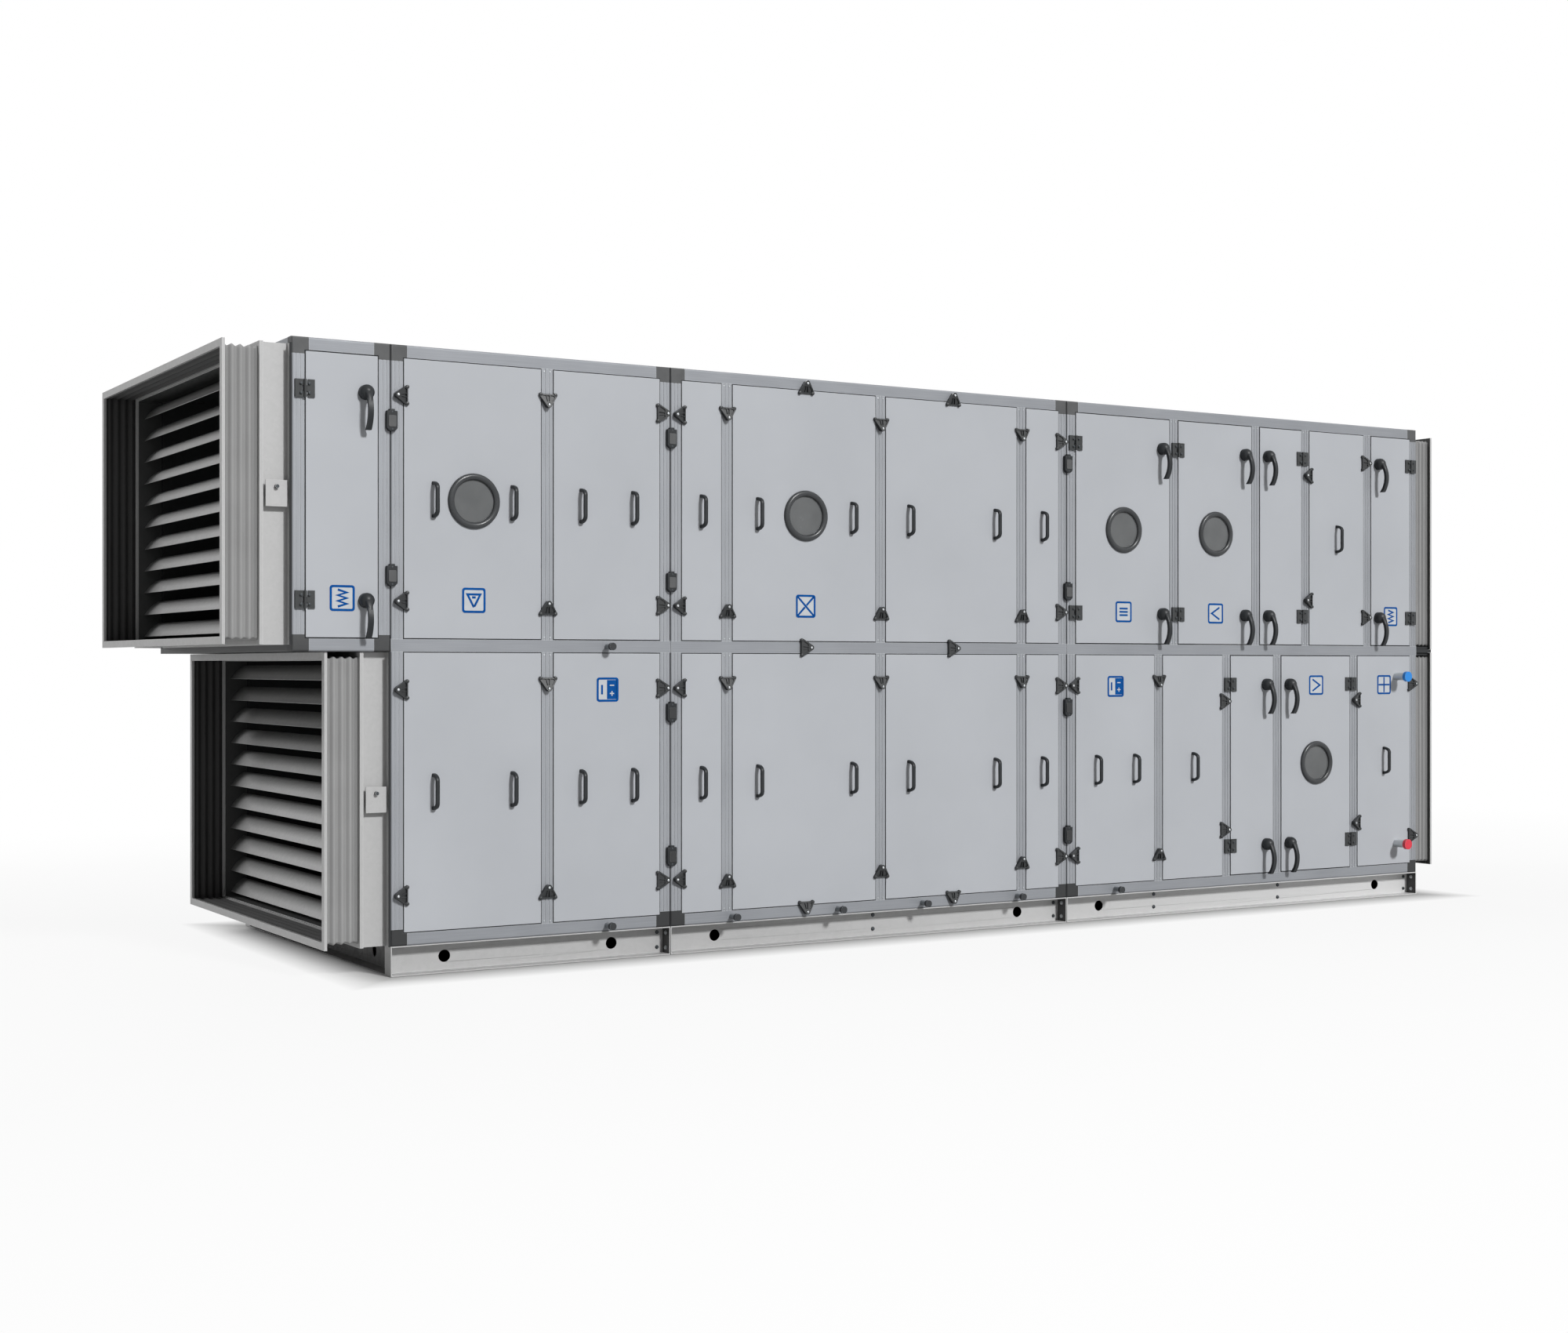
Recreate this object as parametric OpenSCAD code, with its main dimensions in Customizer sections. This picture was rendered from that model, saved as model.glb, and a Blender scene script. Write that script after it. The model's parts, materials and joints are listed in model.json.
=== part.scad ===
// Air handling unit: two decks of insulated casing on a steel base frame.
// Millimetres. X runs along the unit, the service side faces -Y, Z is up.

/* [Casing] */
// Width of every aluminium frame profile
profile = 50; // [40:1:70]
// Rounding of the profile's outer edge
profile_round = 8; // [2:1:20]
// Clear height of a panel opening on either deck
panel_h = 1115; // [900:5:1400]
// Depth of the casing from service side to rear
case_d = 1920; // [1400:10:2400]
// Length of the overhanging filter section on the upper deck
filter_l = 400; // [300:10:700]
// Length of the first section
section_a = 1250; // [1000:10:1600]
// Length of the middle section
section_b = 2150; // [1800:10:2600]
// Length of the last section
section_c = 2400; // [2300:10:2800]
// Thickness of an insulated panel
panel_t = 50; // [30:1:70]
// Depth of a panel's outer skin
skin_t = 6; // [2:1:12]
// How far a panel's skin stands out of the frame
skin_proud = 3; // [1:0.5:6]
// Shadow gap around a fixed panel's skin
reveal = 4; // [2:0.5:8]
// Seam between two neighbouring sections
seam = 2; // [1:0.5:6]
// Reach of a corner piece along its rail
corner_l = 68; // [55:1:100]
// Reach of a corner piece along its post, past the rail
corner_drop = 16; // [8:1:40]
// Width of the fine grooves along a post or mullion
groove_w = 3; // [2:0.5:5]
// Depth of the fine grooves
groove_t = 2; // [1:0.5:3]

/* [Base frame] */
// Height of the base channels
base_h = 120; // [80:5:200]
// Width of a base channel's flanges
base_flange = 68; // [50:1:90]
// Sheet of the base channels
base_t = 5; // [3:0.5:10]
// Diameter of a lifting hole
lift_d = 50; // [30:1:60]
// Distance of a lifting hole from its section's end
lift_inset = 250; // [150:10:400]
// Distance of an end lifting hole from the casing's side
end_lift_inset = 360; // [150:5:450]

/* [Panels on the service side] */
// First panel of section A
panel_a1 = 600; // [400:10:700]
// First and last panel of section B
panel_b_end = 200; // [150:10:300]
// First door of section C on the upper deck
door_u1 = 600; // [400:10:640]
// Second door of section C on the upper deck
door_u2 = 500; // [400:10:540]
// Third door of section C on the upper deck
door_u3 = 300; // [250:10:340]
// Panel beside the last upper door
panel_u4 = 400; // [300:10:440]
// First panel of section C on the lower deck
panel_l1 = 500; // [400:10:540]
// Second panel of section C on the lower deck
panel_l2 = 400; // [300:10:440]
// Left door of the lower deck
door_l3 = 300; // [250:10:340]
// Right door of the lower deck
door_l4 = 500; // [400:10:540]

/* [Doors] */
// Clearance around a door leaf
door_gap = 5; // [5:0.5:8]
// Step from a door's skin back to its core
door_rebate = 6; // [4:0.5:10]
// Height of a hinge
hinge_h = 70; // [50:1:100]
// Reach of a hinge leaf to either side of the pin
hinge_w = 39; // [30:1:50]
// Thickness of a hinge leaf on the frame
hinge_t = 9; // [6:0.5:14]
// Diameter of the hinge pin
hinge_pin_d = 6; // [4:0.5:8]
// Diameter of the hinge knuckles
knuckle_d = 12; // [10:0.5:14]
// Distance of the pin from the frame's face
hinge_out = 11; // [10:0.5:14]
// Running clearance of the hinge
hinge_fit = 0.5; // [0.3:0.1:1]
// Height of hinges and levers from the opening's top and bottom
fitting_inset = 150; // [120:5:220]
// Distance of a lever's hub from the leaf's free edge
lever_inset = 55; // [45:1:80]
// Length of a lever from hub to tip
lever_l = 150; // [120:1:160]
// Diameter of a lever's hub
hub_d = 60; // [40:1:64]
// Reach of a lever from the leaf
lever_out = 68; // [55:1:75]
// Height of a lever's hub
hub_h = 46; // [30:1:48]
// Width of a lever's arm
arm_w = 20; // [16:1:28]
// Thickness of a lever's arm
arm_t = 15; // [10:1:20]
// Radius of the bow of a lever's arm
arm_bow = 120; // [110:1:160]
// Running clearance under a lever's hub
lever_fit = 0.3; // [0.2:0.1:1]

/* [Windows] */
// Outer diameter of a round window
window_d = 224; // [160:2:260]
// Diameter of the visible pane
pane_d = 172; // [120:2:180]
// How far the window ring stands out of the skin
ring_out = 14; // [8:1:20]
// Straight edge of a window ring
ring_lip = 4; // [2:0.5:6]
// Thickness of the pane
pane_t = 8; // [4:1:12]

/* [Handles and clamps] */
// Length of a panel handle
handle_l = 153; // [120:1:180]
// Width of a panel handle
handle_w = 22; // [16:1:34]
// Reach of a panel handle
handle_out = 45; // [35:1:60]
// Thickness of the handle's grip
grip_t = 14; // [10:1:20]
// Length of a handle's foot on the panel
handle_foot = 22; // [16:1:30]
// Slope of a handle's ends
handle_slope = 24; // [16:1:34]
// Distance of a handle from a wide panel's edge
handle_inset = 130; // [90:5:180]
// Panels narrower than this carry one handle in the middle
wide_panel = 450; // [420:10:480]
// Long side of a three-lobed clamp
clamp_l = 82; // [60:1:100]
// Height of a clamp's triangle
clamp_w = 62; // [46:1:70]
// Thickness of a clamp plate
clamp_t = 12; // [8:1:16]
// Radius of a clamp's rounded tip
clamp_tip_r = 12; // [9:0.5:14]
// Radius of a clamp's two feet
clamp_foot_r = 8; // [6:0.5:10]
// Depth of the pocket in a clamp's face
clamp_pocket = 4; // [2:0.5:6]
// Half width of a clamp at its waist
clamp_waist = 22; // [18:0.5:25]
// Depth of the notch between a clamp's feet
clamp_notch = 4; // [2:0.5:8]
// Wall round a clamp's pocket
clamp_wall = 5; // [3:0.5:6]
// Distance of a clamp's middle from the panel edge that it holds
clamp_back = 8; // [5:0.5:12]
// Diameter of the boss under a clamp
boss_d = 16; // [10:1:20]
// Distance of a clamp on a mullion from the opening's top and bottom
mullion_clamp_inset = 130; // [110:5:200]
// Offset of a clamp beside a hinge
clamp_step = 84; // [80:1:120]
// Height of a section connector
latch_h = 88; // [60:1:110]
// Width of a section connector
latch_w = 44; // [30:1:48]
// Reach of a section connector
latch_out = 18; // [10:1:30]
// Distance of a section connector from the opening's top and bottom
latch_inset = 252; // [240:1:320]

/* [Pipe connections] */
// Diameter of a drain stub
drain_d = 24; // [18:1:38]
// Reach of a drain stub
drain_out = 56; // [40:1:90]
// Diameter of a drain's cap
drain_cap_d = 32; // [26:1:48]
// Length of a drain's cap
drain_cap_l = 16; // [10:1:25]
// Distance of the first drain from its section's end
drain_inset = 300; // [200:10:350]
// Distance of the two inner drains from the middle of section B
drain_spread = 230; // [100:10:300]
// Diameter of a coil pipe
coil_d = 40; // [30:1:48]
// Reach of a coil pipe
coil_out = 70; // [50:1:120]
// Diameter of a coil pipe's cap
coil_cap_d = 54; // [50:1:70]
// Length of a coil pipe's cap
coil_cap_l = 18; // [12:1:30]
// Distance of the coil pipes from their panel's right edge
coil_inset = 110; // [80:5:150]
// Distance of the coil pipes from the opening's top and bottom
coil_rise = 112; // [80:1:140]

/* [Dampers and flexible connectors] */
// Width of a flange bar
flange_w = 30; // [20:1:35]
// Thickness of a flange bar
flange_t = 12; // [8:1:16]
// Inset of a flange from the casing's side
flange_inset = 15; // [8:1:20]
// Gap between the right flanges of the two decks
flange_gap = 18; // [12:1:30]
// Clearance between the lower connector and the filter section
flange_drop = 2; // [1:0.5:6]
// Length of the left connectors' canvas
canvas_l = 132; // [100:2:180]
// Length of the right connectors' canvas
canvas_r = 112; // [100:2:180]
// Inset of the canvas from a flange's outer edge
canvas_inset = 16; // [8:1:18]
// Thickness of the canvas walls
canvas_t = 4; // [3:0.5:6]
// Depth of a canvas pleat
pleat = 10; // [4:1:14]
// Pleats along a connector
pleats = 4; // [2:1:6]
// Length of a damper frame
damper_l = 110; // [100:1:130]
// Sheet of a damper frame
damper_t = 3; // [2:0.5:4]
// Blades in a damper
blades = 11; // [11:1:11]
// Gap between two closed blades
blade_gap = 12; // [11:0.5:20]
// Thickness of a blade in the middle
blade_t = 14; // [10:0.5:18]
// Gap between a blade's end and the frame
blade_end = 5; // [5:0.5:8]
// Diameter of a blade's pins
blade_pin_d = 12; // [8:0.5:14]
// Slope of the blades as they stand
blade_tilt = 45; // [10:1:60]
// Running clearance at the blades' pins
pin_fit = 0.3; // [0.2:0.1:0.6]
// Height of a damper's shaft plate
plate_h = 102; // [80:1:120]
// Width of a damper's shaft plate
plate_w = 84; // [60:1:90]
// Thickness of a damper's shaft plate
plate_t = 4; // [2:0.5:8]
// Diameter of the shaft end on the plate
shaft_d = 16; // [10:1:20]
// Length of the shaft end before the plate
shaft_out = 14; // [4:1:15]

/* [Hidden] */
$fn = 48;
case_l = section_a + section_b + section_c;
z_low = base_h + profile;
z_mid = z_low + panel_h;
z_up = z_mid + profile;
z_top = z_up + panel_h;
z_roof = z_top + profile;
x_a = 0;
x_b = section_a;
x_c = section_a + section_b;
x_end = case_l;
x_f = -filter_l;
section_x = [x_a, x_b, x_c, x_end];
conn_x0 = x_f - damper_l - 2 * flange_t - canvas_l;
conn_x1 = x_end + 2 * flange_t + canvas_r;
front_out = skin_proud + coil_out + coil_cap_l;
// The origin sits under the middle of the whole unit.
x_shift = -(conn_x0 + conn_x1) / 2;
y_shift = -(case_d + skin_proud - front_out) / 2;
// Panel openings as [x, width], section by section.
bays_filter = [[x_f + profile, filter_l - 2 * profile]];
bays_a = [
    [profile, panel_a1],
    [2 * profile + panel_a1, section_a - 3 * profile - panel_a1]
];
panel_b_mid = (section_b - 5 * profile - 2 * panel_b_end) / 2;
bays_b = [
    [x_b + profile, panel_b_end],
    [x_b + 2 * profile + panel_b_end, panel_b_mid],
    [x_b + 3 * profile + panel_b_end + panel_b_mid, panel_b_mid],
    [x_c - profile - panel_b_end, panel_b_end]
];
x_u1 = x_c + profile;
x_u2 = x_u1 + door_u1 + profile;
x_u3 = x_u2 + door_u2 + profile;
x_u4 = x_u3 + door_u3 + profile;
x_u5 = x_u4 + panel_u4 + profile;
door_u5 = x_end - profile - x_u5;
x_l1 = x_c + profile;
x_l2 = x_l1 + panel_l1 + profile;
x_l3 = x_l2 + panel_l2 + profile;
x_l4 = x_l3 + door_l3 + profile;
x_l5 = x_l4 + door_l4 + profile;
panel_l5 = x_end - profile - x_l5;
upper_panels = concat(bays_a, bays_b, [[x_u4, panel_u4]]);
lower_panels = concat(bays_a, bays_b, [[x_l1, panel_l1], [x_l2, panel_l2], [x_l5, panel_l5]]);
upper_doors_at = concat(bays_filter,
    [[x_u1, door_u1], [x_u2, door_u2], [x_u3, door_u3], [x_u5, door_u5]]);
// Hinge pins of the upper doors, with the side that the leaf lies on.
upper_pins = [[x_f + profile, 1], [x_u1, 1], [x_u2, 1], [x_u3 + door_u3, -1],
    [x_u5 + door_u5, -1]];
upper_levers_at = [-profile - lever_inset, x_u1 + door_u1 - lever_inset,
    x_u2 + door_u2 - lever_inset, x_u3 + lever_inset, x_u5 + lever_inset];
pin_left = x_l3;
pin_right = x_l4 + door_l4;
lever_left = x_l3 + door_l3 - lever_inset;
lever_right = x_l4 + lever_inset;
fitting_rows = [fitting_inset, panel_h - fitting_inset];
face = -skin_proud;
// Connector openings: outer height of a flange on the left and on the right.
flange_h = z_mid - flange_drop - base_h;
flange_h_r = panel_h + profile - flange_gap;
flange_d = case_d - 2 * flange_inset;
z_conn_low = base_h;
z_conn_up = (z_mid + z_roof) / 2 - flange_h / 2;
z_conn_low_r = z_low - (profile - flange_gap) / 2;
z_conn_up_r = z_up - (profile - flange_gap) / 2;
ring_w = (window_d - pane_d) / 2;
duct_h = flange_h - 2 * flange_w - 2 * damper_t;
duct_d = flange_d - 2 * flange_w - 2 * damper_t;
blade_pitch = duct_h / blades;
blade_chord = blade_pitch - blade_gap;

// Puts a piece into the shared frame.
module place() {
    translate([x_shift, y_shift, 0]) children();
}

// Square profile with one rounded outer edge towards -X -Y, run along +Z.
module profile_bar(l) {
    linear_extrude(height = l) profile_outline();
}

module profile_outline() {
    difference() {
        square(profile);
        round_off(profile_round);
    }
}

// What a rounding of radius r takes off a corner at the origin.
module round_off(r) {
    difference() {
        translate([-1, -1]) square(r + 1);
        translate([r, r]) circle(r = r);
    }
}

// Two fine grooves along the service face of an upright of width w.
module grooves(w) {
    for (x = [w / 3, w * 2 / 3]) translate([x - groove_w / 2, -1])
        square([groove_w, groove_t + 1]);
}

// Profile along +X with its rounded edge at the service side, up or down.
module rail_x(l, top) {
    translate([0, 0, top ? profile : 0]) mirror([0, 0, top ? 1 : 0])
        rotate([90, 0, 90]) profile_bar(l);
}

// A slab between two corners.
module slab(a, b) {
    translate(a) cube(b - a);
}

// Runs of the sections on the base, each short of its seams, as [x, length].
runs = [[x_a, section_a - seam / 2], [x_b + seam / 2, section_b - seam],
    [x_c + seam / 2, section_c - seam / 2]];
filter_run = [x_f, filter_l - seam / 2];

// Base channel along +X, open on its -Y side.
module base_channel(l) {
    rotate([90, 0, 90]) linear_extrude(height = l) difference() {
        square([base_flange, base_h]);
        translate([-1, base_t]) square([base_flange - base_t + 1, base_h - 2 * base_t]);
    }
}

// Long base channels with lifting holes in their webs and a plate across each end.
module base_rails() {
    color("silver") for (i = [0 : 2]) for (rear = [0, 1])
        translate([0, rear ? case_d : 0, 0]) mirror([0, rear, 0]) {
            difference() {
                translate([runs[i][0], 0, 0]) base_channel(runs[i][1]);
                for (x = [section_x[i] + lift_inset, section_x[i + 1] - lift_inset])
                    translate([x, base_flange - base_t / 2, base_h / 2]) rotate([90, 0, 0])
                        cylinder(d = lift_d, h = 2 * base_t, center = true);
            }
            for (x = [runs[i][0], runs[i][0] + runs[i][1] - base_t])
                slab([x, 0, 0], [x + base_t, base_flange, base_h]);
        }
}

// Channels across the base: one at each end of a section, and three between.
module base_cross_members() {
    color("silver") difference() {
        for (s = runs) for (x = [0, s[1] - base_flange])
            translate([s[0] + x, base_flange, 0]) cross_member(x > 0);
        for (x = [x_a + base_flange, x_end - base_flange])
            for (y = [end_lift_inset, case_d - end_lift_inset])
                translate([x, y, base_h / 2]) rotate([0, 90, 0])
                    cylinder(d = lift_d, h = 4 * base_t, center = true);
    }
    color("silver") for (x = [x_b + section_b / 2, x_c + section_c / 4, x_c + section_c * 3 / 5])
        translate([x - base_flange / 2, base_flange, 0]) cross_member(false);
}

// Base channel along +Y between the long rails.
module cross_member(flip) {
    translate([flip ? base_flange : 0, 0, 0]) mirror([flip ? 1 : 0, 0, 0])
        translate([0, case_d - 2 * base_flange, 0]) rotate([0, 0, -90])
            base_channel(case_d - 2 * base_flange);
}

// Vertical profiles at both ends of every section, and mullions between the panels.
module uprights() {
    color("lightsteelblue") for (rear = [0, 1])
        translate([0, rear ? case_d : 0, 0]) mirror([0, rear, 0]) {
            for (s = runs) {
                section_posts(s, z_low + corner_drop, z_mid);
                section_posts(s, z_up, z_top - corner_drop);
            }
            section_posts(filter_run, z_up + corner_drop, z_top - corner_drop);
            for (z = [z_low, z_up]) for (b = concat(bays_a, bays_b))
                if (!last_bay(b)) mullion(b, z);
            for (b = [[x_u1, door_u1], [x_u2, door_u2], [x_u3, door_u3], [x_u4, panel_u4]])
                mullion(b, z_up);
            for (b = [[x_l1, panel_l1], [x_l2, panel_l2], [x_l3, door_l3], [x_l4, door_l4]])
                mullion(b, z_low);
        }
}

function last_bay(b) = b[0] + b[1] + profile == x_b || b[0] + b[1] + profile == x_c;

// Posts at both ends of a section's run, short of the seam.
module section_posts(s, z0, z1) {
    for (e = [0, 1]) translate([s[0] + e * s[1], 0, z0]) mirror([e, 0, 0])
        linear_extrude(height = z1 - z0) difference() {
            post_outline(s, e);
            grooves(profile);
        }
}

module post_outline(s, e) {
    intersection() {
        profile_outline();
        square([post_w(s, e), profile]);
    }
}

// Width of a post: the seam is taken from the posts beside it.
function post_w(s, e) = s[0] + e * s[1] == x_a || s[0] + e * s[1] == x_end
    || s[0] + e * s[1] == x_f ? profile : profile - seam / 2;

module mullion(b, z) {
    translate([b[0] + b[1], 0, z]) linear_extrude(height = panel_h) difference() {
        square(profile);
        grooves(profile);
    }
}

// Profiles along the unit: bottom, middle and top of each section.
module long_rails() {
    color("lightsteelblue") for (rear = [0, 1])
        translate([0, rear ? case_d : 0, 0]) mirror([0, rear, 0]) {
            for (s = runs) {
                corner_rail(s, base_h, false);
                slab([s[0], 0, z_mid], [s[0] + s[1], profile, z_up]);
                corner_rail(s, z_top, true);
            }
            corner_rail(filter_run, z_mid, false);
            corner_rail(filter_run, z_top, true);
        }
}

// Rail of a section between its two corner pieces.
module corner_rail(s, z, top) {
    translate([s[0] + corner_l, 0, z]) rail_x(s[1] - 2 * corner_l, top);
}

// Profiles across the unit at both ends of the casing.
module cross_rails() {
    color("lightsteelblue") for (e = [[x_a, base_h], [x_a, z_mid], [x_end - profile, base_h],
            [x_end - profile, z_mid], [x_end - profile, z_top], [x_f, z_mid], [x_f, z_top]])
        slab([e[0], profile, e[1]], [e[0] + profile, case_d - profile, e[1] + profile]);
}

// Moulded corner pieces that join rails and posts at the corners of every section.
module corner_caps() {
    color("dimgray") for (rear = [0, 1])
        translate([0, rear ? case_d : 0, 0]) mirror([0, rear, 0]) {
            corner_pair(filter_run, z_mid, false);
            corner_pair(filter_run, z_roof, true);
            for (s = runs) {
                corner_pair(s, base_h, false);
                corner_pair(s, z_roof, true);
            }
        }
}

// Corner pieces at both ends of a rail: a block in line with the rail and a foot on the post.
module corner_pair(s, z, top) {
    for (e = [0, 1]) translate([s[0] + e * s[1], 0, z]) mirror([e, 0, 0])
        mirror([0, 0, top ? 1 : 0]) {
            intersection() {
                rail_x(corner_l, false);
                linear_extrude(height = profile) difference() {
                    square([corner_l, profile]);
                    round_off(profile_round);
                }
            }
            translate([0, 0, profile]) linear_extrude(height = corner_drop)
                post_outline(s, e);
        }
}

module roof_panels() {
    color("gainsboro") {
        slab([x_f + profile, profile, z_top],
            [x_f + filter_run[1], case_d - profile, z_roof]);
        for (s = runs) slab([s[0], profile, z_top],
            [min(s[0] + s[1], x_end - profile), case_d - profile, z_roof]);
    }
}

// Floors of the lower deck, of the upper deck and of the overhanging section.
module floor_panels() {
    color("gainsboro") {
        slab([x_a + profile, profile, base_h], [x_end - profile, case_d - profile, z_low]);
        slab([x_a + profile, profile, z_mid], [x_end - profile, case_d - profile, z_up]);
        slab([x_f + profile, profile, z_mid], [x_a - seam, case_d - profile, z_up]);
    }
}

// Plain rear walls, one insulated panel to each bay.
module rear_panels() {
    color("gainsboro") translate([0, case_d, 0]) mirror([0, 1, 0]) {
        for (b = concat(bays_filter, bays_a, bays_b, [[x_u1, door_u1], [x_u2, door_u2],
                [x_u3, door_u3], [x_u4, panel_u4], [x_u5, door_u5]]))
            fixed_panel(b, z_up);
        for (b = concat(bays_a, bays_b, [[x_l1, panel_l1], [x_l2, panel_l2],
                [x_l3, door_l3], [x_l4, door_l4], [x_l5, panel_l5]]))
            fixed_panel(b, z_low);
    }
}

// Insulated panel: a core that fills its opening and a skin inside a shadow gap.
module fixed_panel(b, z) {
    slab([b[0], skin_t - skin_proud, z], [b[0] + b[1], panel_t, z + panel_h]);
    slab([b[0] + reveal, face, z + reveal],
        [b[0] + b[1] - reveal, skin_t, z + panel_h - reveal]);
}

module window_hole(x, z) {
    translate([x, face - 1, z]) rotate([-90, 0, 0])
        cylinder(d = pane_d, h = panel_t + skin_proud + 2);
}

function mid(b) = b[0] + b[1] / 2;
z_eye_up = z_up + panel_h / 2;
z_eye_low = z_low + panel_h / 2;

module front_panels() {
    color("lightgray") {
        difference() {
            for (b = upper_panels) fixed_panel(b, z_up);
            window_hole(mid(bays_a[0]), z_eye_up);
            window_hole(mid(bays_b[1]), z_eye_up);
        }
        for (b = lower_panels) fixed_panel(b, z_low);
    }
}

// A door leaf hangs free of its frame all round, its core stepped back to swing clear.
module door_leaf(b, z) {
    core_gap = door_gap + door_rebate;
    slab([b[0] + door_gap, face, z + door_gap],
        [b[0] + b[1] - door_gap, skin_t, z + panel_h - door_gap]);
    slab([b[0] + core_gap, 0, z + core_gap],
        [b[0] + b[1] - core_gap, panel_t, z + panel_h - core_gap]);
}

module upper_doors() {
    color("lightgray") difference() {
        for (b = upper_doors_at) door_leaf(b, z_up);
        window_hole(x_u1 + door_u1 / 2, z_eye_up);
        window_hole(x_u2 + door_u2 / 2, z_eye_up);
    }
}

module lower_left_door() {
    color("lightgray") door_leaf([x_l3, door_l3], z_low);
}

module lower_right_door() {
    color("lightgray") difference() {
        door_leaf([x_l4, door_l4], z_low);
        window_hole(x_l4 + door_l4 / 2, z_eye_low);
    }
}

// Round window ring with a sloped lip, turned about the window's axis.
module window_ring(x, z) {
    translate([x, face, z]) rotate([90, 0, 0]) rotate_extrude($fn = 72)
        polygon(concat([[pane_d / 2, 0], [window_d / 2, 0]],
            [for (a = [0 : 22.5 : 180]) [(window_d + pane_d) / 4 + ring_w / 2 * cos(a),
                ring_lip + (ring_out - ring_lip) * sin(a)]]));
}

module window_pane(x, z) {
    translate([x, face + pane_t, z]) rotate([90, 0, 0]) cylinder(d = pane_d, h = pane_t, $fn = 72);
}

windows_up = [mid(bays_a[0]), mid(bays_b[1]), x_u1 + door_u1 / 2, x_u2 + door_u2 / 2];

module window_rings() {
    color("dimgray") for (x = windows_up) window_ring(x, z_eye_up);
}

module window_panes() {
    color("lightblue") for (x = windows_up) window_pane(x, z_eye_up);
}

module door_window_ring() {
    color("dimgray") window_ring(x_l4 + door_l4 / 2, z_eye_low);
}

module door_window_pane() {
    color("lightblue") window_pane(x_l4 + door_l4 / 2, z_eye_low);
}

// Frame half of a hinge: leaf, two outer knuckles and the pin. side is the leaf's own side.
module hinge_frame(x, z, side) {
    knuckle = hinge_h / 3;
    translate([x, 0, z - hinge_h / 2]) mirror([side < 0 ? 1 : 0, 0, 0]) {
        difference() {
            slab([-hinge_w, -hinge_t, 0], [-knuckle_d / 4, 0, hinge_h]);
            slab([-knuckle_d, -hinge_t - 1, knuckle - hinge_fit],
                [0, 1, 2 * knuckle + hinge_fit]);
        }
        for (k = [0, 2]) translate([0, -hinge_out, k * knuckle])
            cylinder(d = knuckle_d, h = knuckle - hinge_fit * (k == 0 ? 1 : 0));
        translate([0, -hinge_out, 0]) cylinder(d = hinge_pin_d, h = hinge_h);
    }
}

// Door half of a hinge: leaf and the middle knuckle around the pin.
module hinge_door(x, z, side) {
    knuckle = hinge_h / 3;
    translate([x, 0, z - hinge_h / 2]) mirror([side < 0 ? 1 : 0, 0, 0]) difference() {
        union() {
            slab([knuckle_d, -hinge_t, 0], [hinge_w, face, hinge_h]);
            slab([knuckle_d / 4, -hinge_t, knuckle + hinge_fit],
                [hinge_w, face, 2 * knuckle - hinge_fit]);
            translate([0, -hinge_out, knuckle + hinge_fit])
                cylinder(d = knuckle_d, h = knuckle - 2 * hinge_fit);
        }
        translate([0, -hinge_out, -1])
            cylinder(d = hinge_pin_d + 2 * hinge_fit, h = hinge_h + 2);
    }
}

// Every hinge of the upper doors, and the frame halves for the lower doors.
module fixed_hinges() {
    color("dimgray") {
        for (p = upper_pins) for (r = fitting_rows) {
            hinge_frame(p[0], z_up + r, p[1]);
            hinge_door(p[0], z_up + r, p[1]);
        }
        for (r = fitting_rows) {
            hinge_frame(pin_left, z_low + r, 1);
            hinge_frame(pin_right, z_low + r, -1);
        }
    }
}

module left_door_hinges() {
    color("dimgray") for (r = fitting_rows) hinge_door(pin_left, z_low + r, 1);
}

module right_door_hinges() {
    color("dimgray") for (r = fitting_rows) hinge_door(pin_right, z_low + r, -1);
}

// Lever handle hanging from its hub: a domed hub and an arm bowed away from the leaf.
module lever(x, z) {
    translate([x, face - lever_fit, z]) {
        rotate([90, 0, 0]) rotate_extrude() hub_outline();
        translate([-arm_w / 2, 0, 0]) rotate([90, 0, 90]) linear_extrude(height = arm_w)
            arm_outline();
    }
}

// Half outline of the hub: a straight foot under a round dome.
module hub_outline() {
    dome = hub_d / 2;
    square([dome, hub_h - dome]);
    translate([0, hub_h - dome]) intersection() {
        circle(r = dome);
        square(dome);
    }
}

// Side view of the arm, an arc that is farthest out below the hub.
module arm_outline() {
    intersection() {
        translate([arm_bow - lever_out, -lever_l / 2]) difference() {
            circle(r = arm_bow, $fn = 96);
            circle(r = arm_bow - arm_t, $fn = 96);
        }
        translate([-lever_out, -lever_l]) square([lever_out - hub_h / 4, lever_l + arm_t / 2]);
    }
}

module upper_levers() {
    color("dimgray") for (x = upper_levers_at) for (r = fitting_rows) lever(x, z_up + r);
}

module left_lever_bottom() { color("dimgray") lever(lever_left, z_low + fitting_rows[0]); }
module left_lever_top() { color("dimgray") lever(lever_left, z_low + fitting_rows[1]); }
module right_lever_bottom() { color("dimgray") lever(lever_right, z_low + fitting_rows[0]); }
module right_lever_top() { color("dimgray") lever(lever_right, z_low + fitting_rows[1]); }

// Handle places on a panel: one in the middle, or one near each edge.
function handle_xs(b) = b[1] < wide_panel ? [mid(b)]
    : [b[0] + handle_inset, b[0] + b[1] - handle_inset];

module each_handle() {
    for (b = upper_panels) for (x = handle_xs(b)) translate([x, face, z_eye_up]) children();
    for (b = lower_panels) for (x = handle_xs(b)) translate([x, face, z_eye_low]) children();
}

// Grips of the bow handles.
module handle_grips() {
    color("dimgray") each_handle() handle_bar() translate([-handle_out, -handle_l / 2 + handle_slope])
        square([grip_t, handle_l - 2 * handle_slope]);
}

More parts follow.
